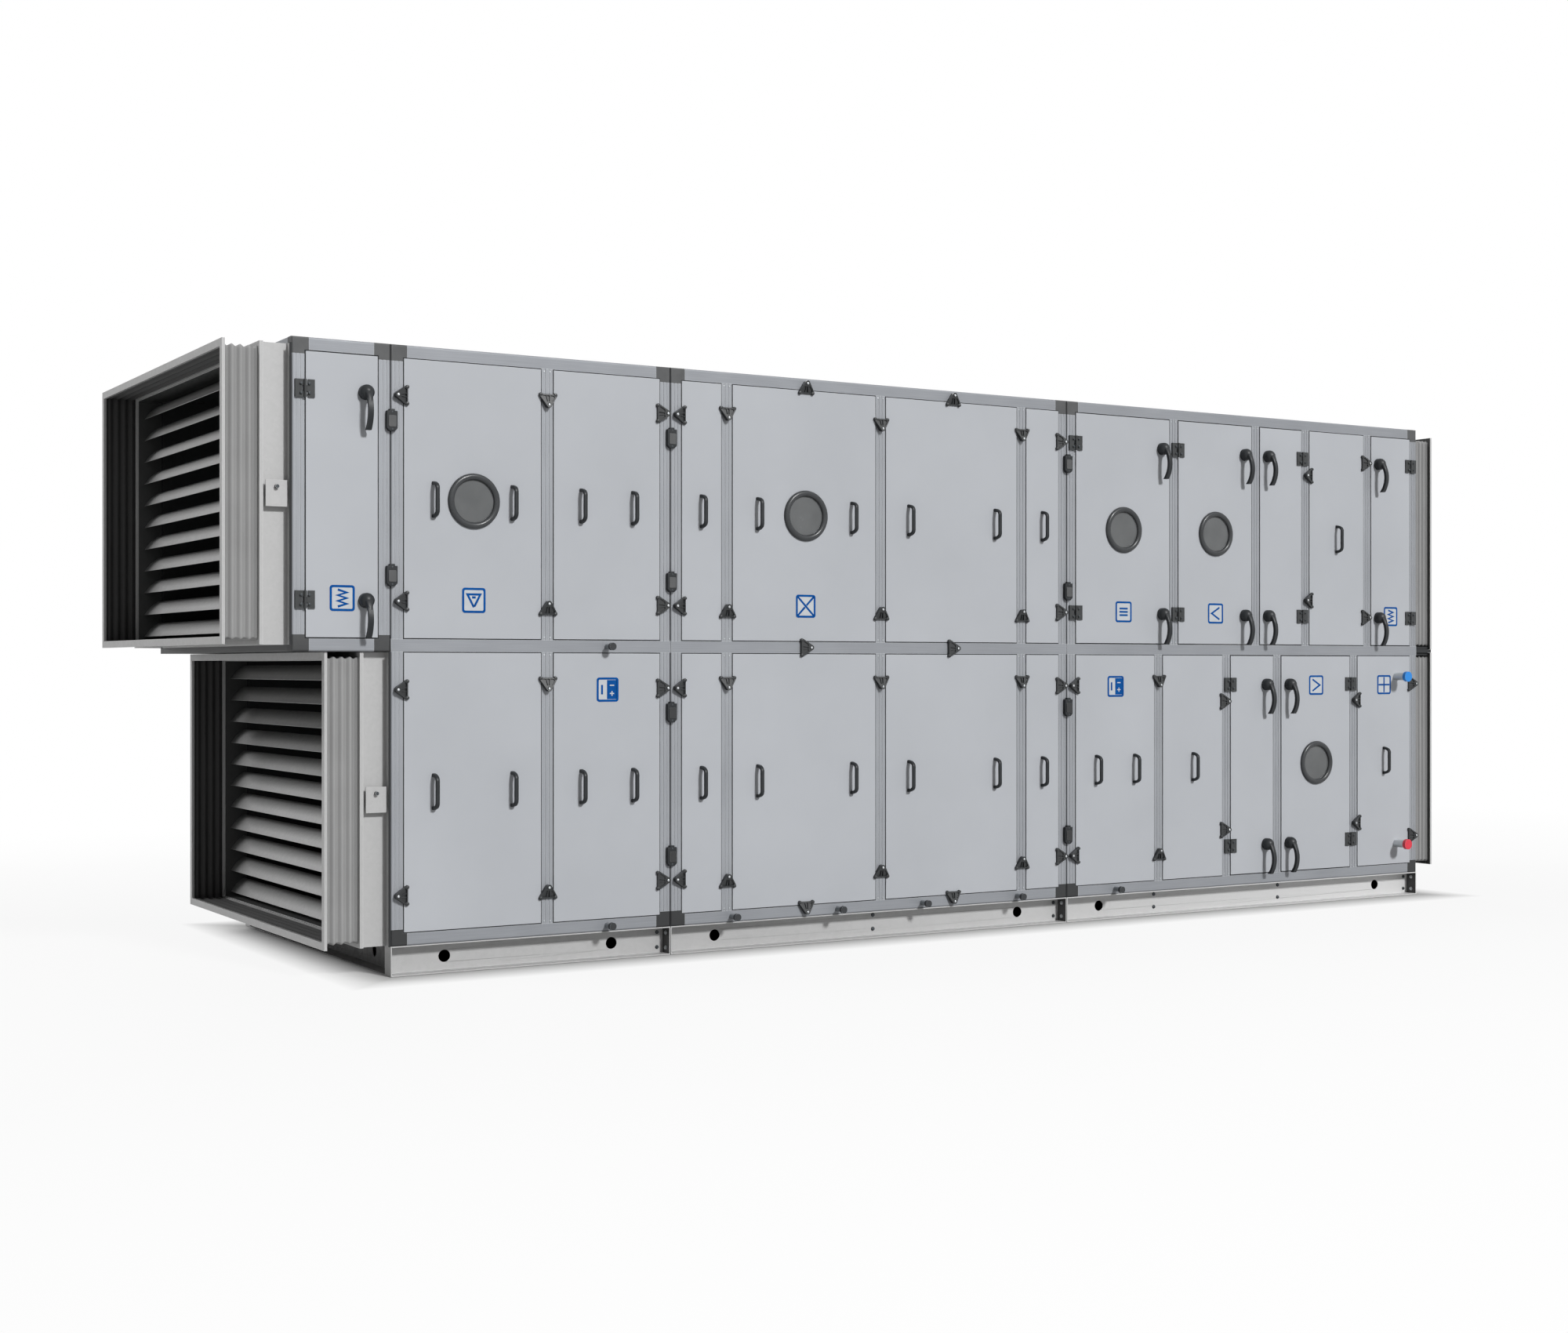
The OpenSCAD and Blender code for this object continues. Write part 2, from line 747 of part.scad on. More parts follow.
// Sloped feet that carry a grip at both ends.
module handle_feet() {
    color("dimgray") each_handle() for (s = [0, 1]) mirror([0, 0, s]) handle_bar()
        polygon([[0, handle_l / 2], [0, handle_l / 2 - handle_foot],
            [grip_t - handle_out, handle_l / 2 - handle_slope],
            [-handle_out, handle_l / 2 - handle_slope]]);
}

// Runs a side view across the width of a handle.
module handle_bar() {
    translate([-handle_w / 2, 0, 0]) rotate([90, 0, 90]) linear_extrude(height = handle_w)
        children();
}

// Three-lobed clamp plate: its two feet hold the panel, its tip sits on the frame.
module clamp(turn) {
    tip = [clamp_tip_r - clamp_w / 2, 0];
    foot = [clamp_w / 2 - clamp_foot_r, clamp_l / 2 - clamp_foot_r];
    back = [foot[0] - clamp_notch, 0];
    rotate([90, 0, 0]) rotate([0, 0, turn]) difference() {
        linear_extrude(height = clamp_t) {
            polygon(concat(clamp_side(tip, foot), [back], [for (i = [4 : -1 : 0])
                let (p = clamp_side(tip, foot)[i]) [p[0], -p[1]]]));
            translate(tip) circle(r = clamp_tip_r);
            for (s = [-1, 1]) translate([foot[0], s * foot[1]]) circle(r = clamp_foot_r);
        }
        translate([0, 0, clamp_t - clamp_pocket]) linear_extrude(height = clamp_t)
            polygon([[tip[0] + clamp_tip_r, 0],
                [back[0] - clamp_wall, clamp_waist - clamp_wall],
                [back[0] - clamp_wall, clamp_wall - clamp_waist]]);
    }
}

// Outline of a clamp's upper half from its tip to its foot, drawn in at the waist.
function clamp_side(tip, foot) = [
    [tip[0] - clamp_tip_r / 2, clamp_tip_r * sin(60)], [tip[0] + clamp_tip_r / 2, clamp_tip_r * sin(60)],
    [foot[0] - clamp_l / 4, clamp_waist], [foot[0] - clamp_foot_r * sin(45), foot[1] + clamp_foot_r * sin(45)],
    [foot[0] + clamp_foot_r, foot[1]]];

// Clamps lie on the skin of the panels that they hold, screwed down on a spacer boss.
module clamp_at(x, z, turn) {
    translate([x, face, z]) clamp(turn);
    translate([x, 0, z]) rotate([90, 0, 0]) cylinder(d = boss_d, h = skin_proud + clamp_t / 2);
}

edge = profile - clamp_back;

module clamps() {
    color("dimgray") {
        for (z = [z_low, z_up]) {
            for (r = fitting_rows) {
                clamp_at(x_a + edge, z + r, 0);
                clamp_at(x_b - edge, z + r, 180);
                clamp_at(x_b + edge, z + r, 0);
                clamp_at(x_c - edge, z + r, 180);
            }
            for (b = [bays_a[0], bays_b[0], bays_b[1], bays_b[2]]) mullion_clamps(b, z);
        }
        for (r = fitting_rows) {
            clamp_at(x_u5 - edge, z_up + r, 180);
            clamp_at(x_c + edge, z_low + r, 0);
            clamp_at(x_end - edge, z_low + r, 180);
        }
        beside_hinge = panel_h / 2 - fitting_inset - clamp_step;
        for (s = [-1, 1]) {
            clamp_at(x_u4 - clamp_back, z_eye_up + s * beside_hinge, 0);
            clamp_at(x_l3 - edge, z_eye_low + s * beside_hinge, 180);
            clamp_at(x_l5 - clamp_back, z_eye_low + s * beside_hinge, 0);
        }
        mullion_clamps([x_l1, panel_l1], z_low);
        for (b = [bays_b[1], bays_b[2]]) {
            clamp_at(mid(b), z_top + clamp_back, -90);
            clamp_at(mid(b), z_mid + profile / 2, 180);
            clamp_at(mid(b), z_low - clamp_back, 90);
        }
    }
}

// Clamps that hold the panels on both sides of a mullion, tips towards the middle.
module mullion_clamps(b, z) {
    clamp_at(b[0] + b[1] + profile / 2, z + mullion_clamp_inset, -90);
    clamp_at(b[0] + b[1] + profile / 2, z + panel_h - mullion_clamp_inset, 90);
}

// Connectors that draw two sections together, across each joint.
module section_connectors() {
    color("dimgray") {
        for (s = [latch_inset, panel_h - latch_inset]) {
            section_connector(x_a, z_up + s);
            for (x = [x_b, x_c]) for (z = [z_low, z_up]) section_connector(x, z + s);
        }
    }
}

// Case of one connector, cut back below and with a screw tab above.
module section_connector(x, z) {
    w = latch_w / 2;
    h = latch_h / 2;
    translate([x, 0, z]) rotate([90, 0, 0]) linear_extrude(height = latch_out)
        polygon([[-w, h - w / 3], [-w / 2, h - w / 3], [-w / 2, h], [w / 2, h],
            [w / 2, h - w / 3], [w, h - w / 3], [w, w / 2 - h], [w / 2, -h], [-w / 2, -h],
            [-w, w / 2 - h]]);
}

// Condensate drains, each a stub with a screwed cap.
module drain(x, z) {
    translate([x, 0, z]) rotate([90, 0, 0]) {
        cylinder(d = drain_d, h = drain_out);
        translate([0, 0, drain_out - drain_cap_l]) cylinder(d = drain_cap_d, h = drain_cap_l);
    }
}

module drain_stubs() {
    color("darkgray") {
        drain(x_b - drain_inset, z_mid + profile / 2);
        for (x = [x_b - drain_inset, x_b + drain_inset, (x_b + x_c) / 2 - drain_spread,
                (x_b + x_c) / 2 + drain_spread, x_c - drain_inset, x_c + drain_inset])
            drain(x, base_h + profile / 2);
    }
}

// Coil pipe ends with coloured caps beside the last post.
module coil_pipes() {
    color("steelblue") for (z = [z_low + coil_rise, z_mid - coil_rise])
        translate([x_end - profile - coil_inset, face, z]) rotate([90, 0, 0]) {
            cylinder(d = coil_d, h = coil_out);
            translate([0, 0, coil_out]) cylinder(d = coil_cap_d, h = coil_cap_l);
        }
}

// Each flange as [x of its outer face, bottom, height].
flanges = [
    [conn_x0, z_conn_up, flange_h], [x_f - damper_l - flange_t, z_conn_up, flange_h],
    [conn_x0 - x_f, z_conn_low, flange_h], [-damper_l - flange_t, z_conn_low, flange_h],
    [x_end, z_conn_up_r, flange_h_r], [conn_x1 - flange_t, z_conn_up_r, flange_h_r],
    [x_end, z_conn_low_r, flange_h_r], [conn_x1 - flange_t, z_conn_low_r, flange_h_r]
];

module flange_uprights() {
    color("silver") for (f = flanges) for (y = [flange_inset, case_d - flange_inset - flange_w])
        translate([f[0], y, f[1]]) cube([flange_t, flange_w, f[2]]);
}

module flange_bars() {
    color("silver") for (f = flanges) for (z = [f[1], f[1] + f[2] - flange_w])
        translate([f[0], flange_inset + flange_w, z])
            cube([flange_t, flange_d - 2 * flange_w, flange_w]);
}

// Canvas bellows as [x, length, bottom, height].
bellows = [
    [conn_x0 + flange_t, canvas_l, z_conn_up, flange_h],
    [conn_x0 - x_f + flange_t, canvas_l, z_conn_low, flange_h],
    [x_end + flange_t, canvas_r, z_conn_up_r, flange_h_r],
    [x_end + flange_t, canvas_r, z_conn_low_r, flange_h_r]
];

// Outline of a pleated wall of length l along X, folding towards +Y.
module pleat_outline(l) {
    step = l / pleats;
    polygon(concat([for (i = [0 : 2 * pleats]) [i * step / 2, (i % 2) * pleat]],
        [for (i = [2 * pleats : -1 : 0]) [i * step / 2, (i % 2) * pleat + canvas_t]]));
}

module canvas_sides() {
    color("gray") for (b = bellows) for (rear = [0, 1])
        translate([b[0], rear ? case_d : 0, b[2]]) mirror([0, rear, 0])
            translate([0, flange_inset + canvas_inset, canvas_inset])
                linear_extrude(height = b[3] - 2 * canvas_inset) pleat_outline(b[1]);
}

module canvas_tops() {
    wall = flange_inset + canvas_inset + pleat + canvas_t;
    color("gray") for (b = bellows) for (top = [0, 1])
        translate([b[0], case_d - wall, b[2] + top * b[3]]) mirror([0, 0, top])
            translate([0, 0, canvas_inset]) rotate([90, 0, 0])
                linear_extrude(height = case_d - 2 * wall) pleat_outline(b[1]);
}

// Damper frames as [x, bottom].
dampers = [[x_f - damper_l, z_conn_up], [-damper_l, z_conn_low]];

// Channel outline: web inside, flanges turned out.
module damper_channel() {
    difference() {
        square([damper_l, flange_w + damper_t]);
        translate([damper_t, -1]) square([damper_l - 2 * damper_t, flange_w + 1]);
    }
}

module damper_uprights() {
    color("silver") for (d = dampers) {
        for (rear = [0, 1]) translate([d[0], rear ? case_d : 0, d[1]]) mirror([0, rear, 0])
            translate([0, flange_inset, 0]) linear_extrude(height = flange_h) damper_channel();
        translate([d[0] + damper_l / 2, flange_inset + flange_w, d[1] + flange_h / 2])
            shaft_plate();
    }
}

// Plate and shaft end where a blade motor would be fitted.
module shaft_plate() {
    translate([-plate_w / 2, -flange_w, -plate_h / 2]) cube([plate_w, plate_t, plate_h]);
    translate([0, 0, plate_h / 4]) rotate([90, 0, 0]) cylinder(d = shaft_d, h = flange_w + shaft_out);
}

module damper_bars() {
    span = flange_d - 2 * flange_w - 2 * damper_t;
    color("silver") for (d = dampers) for (top = [0, 1])
        translate([d[0], case_d - (case_d - span) / 2, d[1] + top * flange_h])
            mirror([0, 0, top]) rotate([90, 0, 0]) linear_extrude(height = span)
                damper_channel();
}

// Blade of a damper, thick at its pins and thin at its edges.
module blade(d, i) {
    translate([d[0] + damper_l / 2, case_d / 2, d[1] + flange_w + damper_t + (i - 0.5) * blade_pitch])
        rotate([0, -blade_tilt, 0]) rotate([90, 0, 0]) {
            linear_extrude(height = duct_d - 2 * blade_end, center = true)
                polygon([[-blade_chord / 2, -1], [-blade_chord / 4, -blade_t / 3],
                    [0, -blade_t / 2], [blade_chord / 4, -blade_t / 3], [blade_chord / 2, -1],
                    [blade_chord / 2, 1], [blade_chord / 4, blade_t / 3], [0, blade_t / 2],
                    [-blade_chord / 4, blade_t / 3], [-blade_chord / 2, 1]]);
            cylinder(d = blade_pin_d, h = duct_d - 2 * pin_fit, center = true);
        }
}

module upper_blade(i) { color("silver") blade(dampers[0], i); }
module lower_blade(i) { color("silver") blade(dampers[1], i); }

place() base_rails();
place() base_cross_members();
place() uprights();
place() long_rails();
place() cross_rails();
place() corner_caps();
place() roof_panels();
place() floor_panels();
place() rear_panels();
place() front_panels();
place() upper_doors();
place() lower_left_door();
place() lower_right_door();
place() window_rings();
place() window_panes();
place() door_window_ring();
place() door_window_pane();
place() fixed_hinges();
place() left_door_hinges();
place() right_door_hinges();
place() upper_levers();
place() left_lever_top();
place() left_lever_bottom();
place() right_lever_top();
place() right_lever_bottom();
place() handle_grips();
place() handle_feet();
place() clamps();
place() section_connectors();
place() drain_stubs();
place() coil_pipes();
place() flange_uprights();
place() flange_bars();
place() canvas_sides();
place() canvas_tops();
place() damper_uprights();
place() damper_bars();
place() upper_blade(1);  // upper_blade_1
place() upper_blade(2);  // upper_blade_2
place() upper_blade(3);  // upper_blade_3
place() upper_blade(4);  // upper_blade_4
place() upper_blade(5);  // upper_blade_5
place() upper_blade(6);  // upper_blade_6
place() upper_blade(7);  // upper_blade_7
place() upper_blade(8);  // upper_blade_8
place() upper_blade(9);  // upper_blade_9
place() upper_blade(10);  // upper_blade_10
place() upper_blade(11);  // upper_blade_11
place() lower_blade(1);  // lower_blade_1
place() lower_blade(2);  // lower_blade_2
place() lower_blade(3);  // lower_blade_3
place() lower_blade(4);  // lower_blade_4
place() lower_blade(5);  // lower_blade_5
place() lower_blade(6);  // lower_blade_6
place() lower_blade(7);  // lower_blade_7
place() lower_blade(8);  // lower_blade_8
place() lower_blade(9);  // lower_blade_9
place() lower_blade(10);  // lower_blade_10
place() lower_blade(11);  // lower_blade_11
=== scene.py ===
# %% [markdown]
# # A double-deck air handling unit
# The CAD model gives every solid its place. This lesson dresses it: finishes for each sheet,
# profile and moulding, the canvas sleeves, and the screws, seals and signs that are too fine for
# the CAD. First the imported model is loaded, and its box is kept, as later steps place things by
# it.

# %% Load the imported model
import json
import math

import bmesh
import bpy
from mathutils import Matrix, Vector, noise


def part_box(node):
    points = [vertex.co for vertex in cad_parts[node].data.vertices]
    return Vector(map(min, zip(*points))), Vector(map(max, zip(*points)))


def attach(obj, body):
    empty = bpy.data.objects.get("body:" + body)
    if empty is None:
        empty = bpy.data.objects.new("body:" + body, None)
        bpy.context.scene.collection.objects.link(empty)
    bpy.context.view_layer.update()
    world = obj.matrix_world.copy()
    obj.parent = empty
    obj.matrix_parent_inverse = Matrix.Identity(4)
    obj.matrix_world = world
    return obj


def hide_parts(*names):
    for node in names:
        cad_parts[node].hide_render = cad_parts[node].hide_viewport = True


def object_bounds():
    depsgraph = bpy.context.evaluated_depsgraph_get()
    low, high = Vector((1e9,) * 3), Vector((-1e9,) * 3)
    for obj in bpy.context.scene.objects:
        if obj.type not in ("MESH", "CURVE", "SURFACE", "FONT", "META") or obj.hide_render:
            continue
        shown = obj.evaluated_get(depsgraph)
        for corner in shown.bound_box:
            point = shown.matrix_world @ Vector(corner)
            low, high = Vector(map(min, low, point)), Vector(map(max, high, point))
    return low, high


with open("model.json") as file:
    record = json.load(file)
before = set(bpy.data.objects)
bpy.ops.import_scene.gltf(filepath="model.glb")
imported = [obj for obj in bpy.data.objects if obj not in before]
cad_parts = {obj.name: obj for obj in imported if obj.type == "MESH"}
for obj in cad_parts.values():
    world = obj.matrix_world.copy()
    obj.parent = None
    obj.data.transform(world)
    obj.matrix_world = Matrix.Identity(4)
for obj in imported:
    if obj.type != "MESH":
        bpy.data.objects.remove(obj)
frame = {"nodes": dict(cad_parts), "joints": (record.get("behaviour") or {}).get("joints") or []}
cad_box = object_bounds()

MM = 0.001
nodes = frame["nodes"]

# %% [markdown]
# The drawing of the unit counts from the front left corner of its base, at floor level.
# One helper turns a point of that drawing, in millimetres, into Blender's metres.

# %% Points of the drawing
drawing_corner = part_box("base_rails")[0]


def at(x, y, z):
    return drawing_corner + Vector((x, y, z)) * MM


print("drawing corner", [round(c, 4) for c in drawing_corner])

# %% [markdown]
# The photograph was taken level, a little above half the unit's height, from the left
# of the service side. The lens follows from the picture's perspective: 47.9 mm on a
# 36 mm wide sensor.

# %% Camera
SENSOR_MM, LENS_MM = 36, 47.88
LEVEL_DEG, TURN_DEG = 90, -31.26
EYE = at(-2943.7, -7838.6, 1226.6)
camera = bpy.data.objects.new("camera", bpy.data.cameras.new("camera"))
bpy.context.scene.collection.objects.link(camera)
camera.data.sensor_width = SENSOR_MM
camera.data.lens = LENS_MM
camera.data.clip_end = 200
camera.location = EYE
camera.rotation_euler = (math.radians(LEVEL_DEG), 0, math.radians(TURN_DEG))
bpy.context.scene.camera = camera
print("camera at", [round(c, 3) for c in camera.location])

# %% [markdown]
# Colours are written as sRGB hex values, as a colour picker shows them, and turned to
# linear light in one place. One small function adds a node: its settings, then its
# inputs, where a socket is linked and a plain value is set.

# %% Colour and node helpers


def linear(hex_colour):
    parts = [int(hex_colour[i:i + 2], 16) / 255 for i in (1, 3, 5)]
    return tuple(
        p / 12.92 if p <= 0.04045 else ((p + 0.055) / 1.055) ** 2.4 for p in parts
    ) + (1.0,)


def add(tree, kind, inputs=None, stops=None, **settings):
    n = tree.nodes.new(kind)
    for key, value in settings.items():
        setattr(n, key, value)
    for i, (position, colour) in enumerate(stops or []):
        ramp = n.color_ramp.elements
        stop = ramp[i] if i < 2 else ramp.new(position)
        stop.position, stop.color = position, linear(colour)
    for key, value in (inputs or {}).items():
        if isinstance(value, bpy.types.NodeSocket):
            tree.links.new(value, n.inputs[key])
        else:
            n.inputs[key].default_value = value
    return n


def per_metre(millimetres):
    return 1000 / millimetres


# %% [markdown]
# Every finish here is built in the same order, as a painter works: a mottled ground tone,
# thinner layers over it, and then a roughness and a fine relief that follow a pattern of
# the surface. Three helpers do these steps, so that a material below says only what
# is its own.

# %% Steps of a finish


def start_material(name):
    material = bpy.data.materials.new(name)
    material.use_nodes = True
    tree = material.node_tree
    tree.nodes.clear()
    shader = add(tree, "ShaderNodeBsdfPrincipled")
    add(tree, "ShaderNodeOutputMaterial", {"Surface": shader.outputs[0]})
    place = add(tree, "ShaderNodeTexCoord").outputs["Object"]
    return material, tree, shader, place


def mottled(tree, place, size_mm, deep, pale, detail=4.0, roughness=0.5, ends=(0.3, 0.7)):
    """A soft pattern of the given size, and the tone between two colours that it gives."""
    cloud = add(tree, "ShaderNodeTexNoise", {"Vector": place, "Scale": per_metre(size_mm),
                                             "Detail": detail, "Roughness": roughness})
    tone = add(tree, "ShaderNodeValToRGB", {"Fac": cloud.outputs["Fac"]},
               stops=[(ends[0], deep), (ends[1], pale)])
    return cloud.outputs["Fac"], tone.outputs["Color"]


def layered(tree, colour, *layers):
    """Lays colours over a first one, each with the share that it covers."""
    for share, over in layers:
        colour = add(tree, "ShaderNodeMix", {0: share, 6: colour, 7: over},
                     data_type="RGBA").outputs[2]
    return colour


def dressed(tree, shader, colour, rough, relief, values=None, under=None):
    """Gives the shader its colour, a roughness and a relief from patterns, and plain values."""
    pattern, smooth, matt = rough
    spread = add(tree, "ShaderNodeMapRange", {"Value": pattern, "To Min": smooth, "To Max": matt})
    height, strength, distance_mm = relief
    bump = add(tree, "ShaderNodeBump", {"Height": height, "Strength": strength,
                                        "Distance": distance_mm * MM})
    if under:
        tree.links.new(under, bump.inputs["Normal"])
    for socket, made in (("Base Color", colour), ("Roughness", spread.outputs[0]),
                         ("Normal", bump.outputs[0])):
        tree.links.new(made, shader.inputs[socket])
    for socket, value in (values or {}).items():
        shader.inputs[socket].default_value = value


# %% [markdown]
# Edges tell the eye what a thing is made of. On sheets and metal profiles, a bright line along
# each edge is a painted highlight, standing in for the light that a fold catches; a moulding is
# rubbed a little paler, as wear. A Bevel node rounds the normal near an edge, and where that
# differs from the true normal there is an edge.

# %% Painted edge highlights and worn edges
FLAT = 0.995


def edge_of(tree, radius_mm, full=0.12):
    rounded = add(tree, "ShaderNodeBevel", {"Radius": radius_mm * MM}, samples=4)
    true = add(tree, "ShaderNodeNewGeometry")
    match = add(tree, "ShaderNodeVectorMath",
                {0: rounded.outputs[0], 1: true.outputs["Normal"]}, operation="DOT_PRODUCT")
    return add(tree, "ShaderNodeMapRange", {
        "Value": match.outputs["Value"], "From Min": FLAT, "From Max": 1 - full}).outputs[0]


# %% [markdown]
# The inside of the casing and of the duct mouths gets painted shade: a dark colour where shade
# falls. A mask picks the points of a surface that lie between two depths and two heights.

# %% Points inside the unit
INSIDE_SHADE_DEPTH, FLANGE_DEPTH, FLANGE_WEB = 45 * MM, 46 * MM, 32 * MM
INSIDE_SHADE = linear("#2E3031")
front_y, rear_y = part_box("uprights")[0].y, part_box("uprights")[1].y
roof_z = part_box("long_rails")[1].z


def within(tree, place, y_from, y_to, z_from, z_to):
    axes = add(tree, "ShaderNodeSeparateXYZ", {0: place})
    inside = 1.0
    for socket, limit, side in ((1, y_from, "GREATER_THAN"), (1, y_to, "LESS_THAN"),
                                (2, z_from, "GREATER_THAN"), (2, z_to, "LESS_THAN")):
        past = add(tree, "ShaderNodeMath", {0: axes.outputs[socket], 1: limit}, operation=side)
        inside = add(tree, "ShaderNodeMath", {0: inside, 1: past.outputs[0]},
                     operation="MULTIPLY").outputs[0]
    return inside


# painted shade: the dark colour and the mask for the inside of the unit
def inside_shade_of(tree, place):
    inside = within(tree, place, front_y + INSIDE_SHADE_DEPTH, rear_y - INSIDE_SHADE_DEPTH,
                    cad_box[0].z, roof_z - INSIDE_SHADE_DEPTH)
    return inside, INSIDE_SHADE


print("casing from", round(front_y, 3), "to", round(rear_y, 3), "roof at", round(roof_z, 3))

# %% [markdown]
# ** Coil-coated steel sheet.** The panels and doors are steel painted on the coil, before folding. The coat is even and satin, with a faint orange peel and a slow waviness from the press. Real orange peel is about 2 mm; it is drawn at 9 mm so that it shows. Inside the casing the sheets get painted shade, a dark colour, so that the mouths of the unit look deep; doors that open get none, so both of their sides show the coat.

# %% Coil-coated sheet


def coil_coated_sheet(name, shaded_inside):
    material, tree, shader, place = start_material(name)
    cloud, tone = mottled(tree, place, 650, "#B0B3B8", "#B6B9BE", roughness=0.55)
    # painted highlight: a bright line along the panel edges
    layers = [(edge_of(tree, 3.0), linear("#D3D6DA"))]
    # painted shade inside the casing
    if shaded_inside:
        layers.append(inside_shade_of(tree, place))
    peel = add(tree, "ShaderNodeTexNoise",
               {"Vector": place, "Scale": per_metre(9), "Detail": 2.0}).outputs["Fac"]
    wave = add(tree, "ShaderNodeBump", {"Height": cloud, "Strength": 0.05, "Distance": 4 * MM})
    dressed(tree, shader, layered(tree, tone, *layers), (peel, 0.40, 0.52), (peel, 0.06, 0.6),
            {"IOR": 1.5, "Specular IOR Level": 0.35}, under=wave.outputs[0])
    return material


panel_coat = coil_coated_sheet("coil_coated_sheet", shaded_inside=True)
door_coat = coil_coated_sheet("coil_coated_door", shaded_inside=False)
print("made", panel_coat.name, door_coat.name)

# %% [markdown]
# **Anodised aluminium.** The frame is extruded and anodised: a cool satin metal with die
# lines along its length. The lines are a fraction of a millimetre apart and are drawn
# 4 mm apart, stretched along the profile, so that they show.

# %% Anodised aluminium


def anodised_aluminium(name, stretch, deep="#909398", pale="#999CA1"):
    material, tree, shader, place = start_material(name)
    along = add(tree, "ShaderNodeMapping", {"Vector": place, "Scale": stretch}).outputs[0]
    lines, streak = mottled(tree, along, 4, "#8C8F94", "#A4A7AC", 3.0, ends=(0.35, 0.65))
    _, tone = mottled(tree, place, 300, deep, pale, 3.0)
    # painted highlight along the edges, and painted shade inside the unit
    colour = layered(tree, tone, (0.22, streak), (edge_of(tree, 2.0), linear("#C3C6CA")),
                     inside_shade_of(tree, place))
    dressed(tree, shader, colour, (lines, 0.40, 0.56), (lines, 0.08, 0.5), {"Metallic": 0.2})
    return material


upright_metal = anodised_aluminium("anodised_aluminium_upright", (1, 1, 0.02))
rail_metal = anodised_aluminium("anodised_aluminium_rail", (0.02, 1, 1), "#85888D", "#8E9196")
cross_metal = anodised_aluminium("anodised_aluminium_cross", (1, 0.02, 1))
print("made", upright_metal.name, rail_metal.name, cross_metal.name)

# %% [markdown]
# ** Galvanised steel.** Base, flanges and dampers are folded from hot-dip galvanised sheet. Zinc freezes in crystals, the spangle, 10 to 20 mm across, each turned its own way, so neighbouring patches differ a little in tone and gloss. The base frames grow paler towards the right. Faces that look left get painted shade on the plates at the base's joints and on the backs of the right flanges. The insides of the duct mouths get painted shade, and so do the blades towards their inner edges and their ends.

# %% Painted shade on the zinc
# colours of painted shade: faces that look left, the insides of the mouths, the blades
LEFT_FACE_SHADE, MOUTH_SHADE, BLADE_SHADE = linear("#3C3C3C"), linear("#3A3B3B"), linear("#2E2E2E")
BLADE_SHADE_SHARE = 0.85


def left_faces_shade_mask(tree, place, from_x):
    """Painted shade on faces that look left, to the right of a place along the unit."""
    true = add(tree, "ShaderNodeNewGeometry")
    normal = add(tree, "ShaderNodeSeparateXYZ", {0: true.outputs["Normal"]})
    is_end = add(tree, "ShaderNodeMath", {0: normal.outputs[0], 1: -0.8}, operation="LESS_THAN")
    along = add(tree, "ShaderNodeSeparateXYZ", {0: place})
    is_past = add(tree, "ShaderNodeMath", {0: along.outputs[0], 1: from_x},
                  operation="GREATER_THAN")
    return add(tree, "ShaderNodeMath", {0: is_end.outputs[0], 1: is_past.outputs[0]},
               operation="MULTIPLY").outputs[0]


def blade_shade_mask(tree):
    """Painted shade that grows towards a blade's inner edge and towards its two ends."""
    box_place = add(tree, "ShaderNodeTexCoord").outputs["Generated"]
    share = add(tree, "ShaderNodeSeparateXYZ", {0: box_place})
    inner = add(tree, "ShaderNodeMapRange", {
        "Value": share.outputs[2], "From Min": 0.3, "From Max": 1.0, "To Max": BLADE_SHADE_SHARE})
    offset = add(tree, "ShaderNodeMath", {0: share.outputs[1], 1: 0.5}, operation="SUBTRACT")
    offset = add(tree, "ShaderNodeMath", {0: offset.outputs[0]}, operation="ABSOLUTE")
    end = add(tree, "ShaderNodeMapRange", {
        "Value": offset.outputs[0], "From Min": 0.34, "From Max": 0.5, "To Max": BLADE_SHADE_SHARE})
    return add(tree, "ShaderNodeMath", {0: inner.outputs[0], 1: end.outputs[0]},
               operation="MAXIMUM").outputs[0]


# %% Galvanised steel
base_left, base_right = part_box("base_rails")[0].x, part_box("base_rails")[1].x


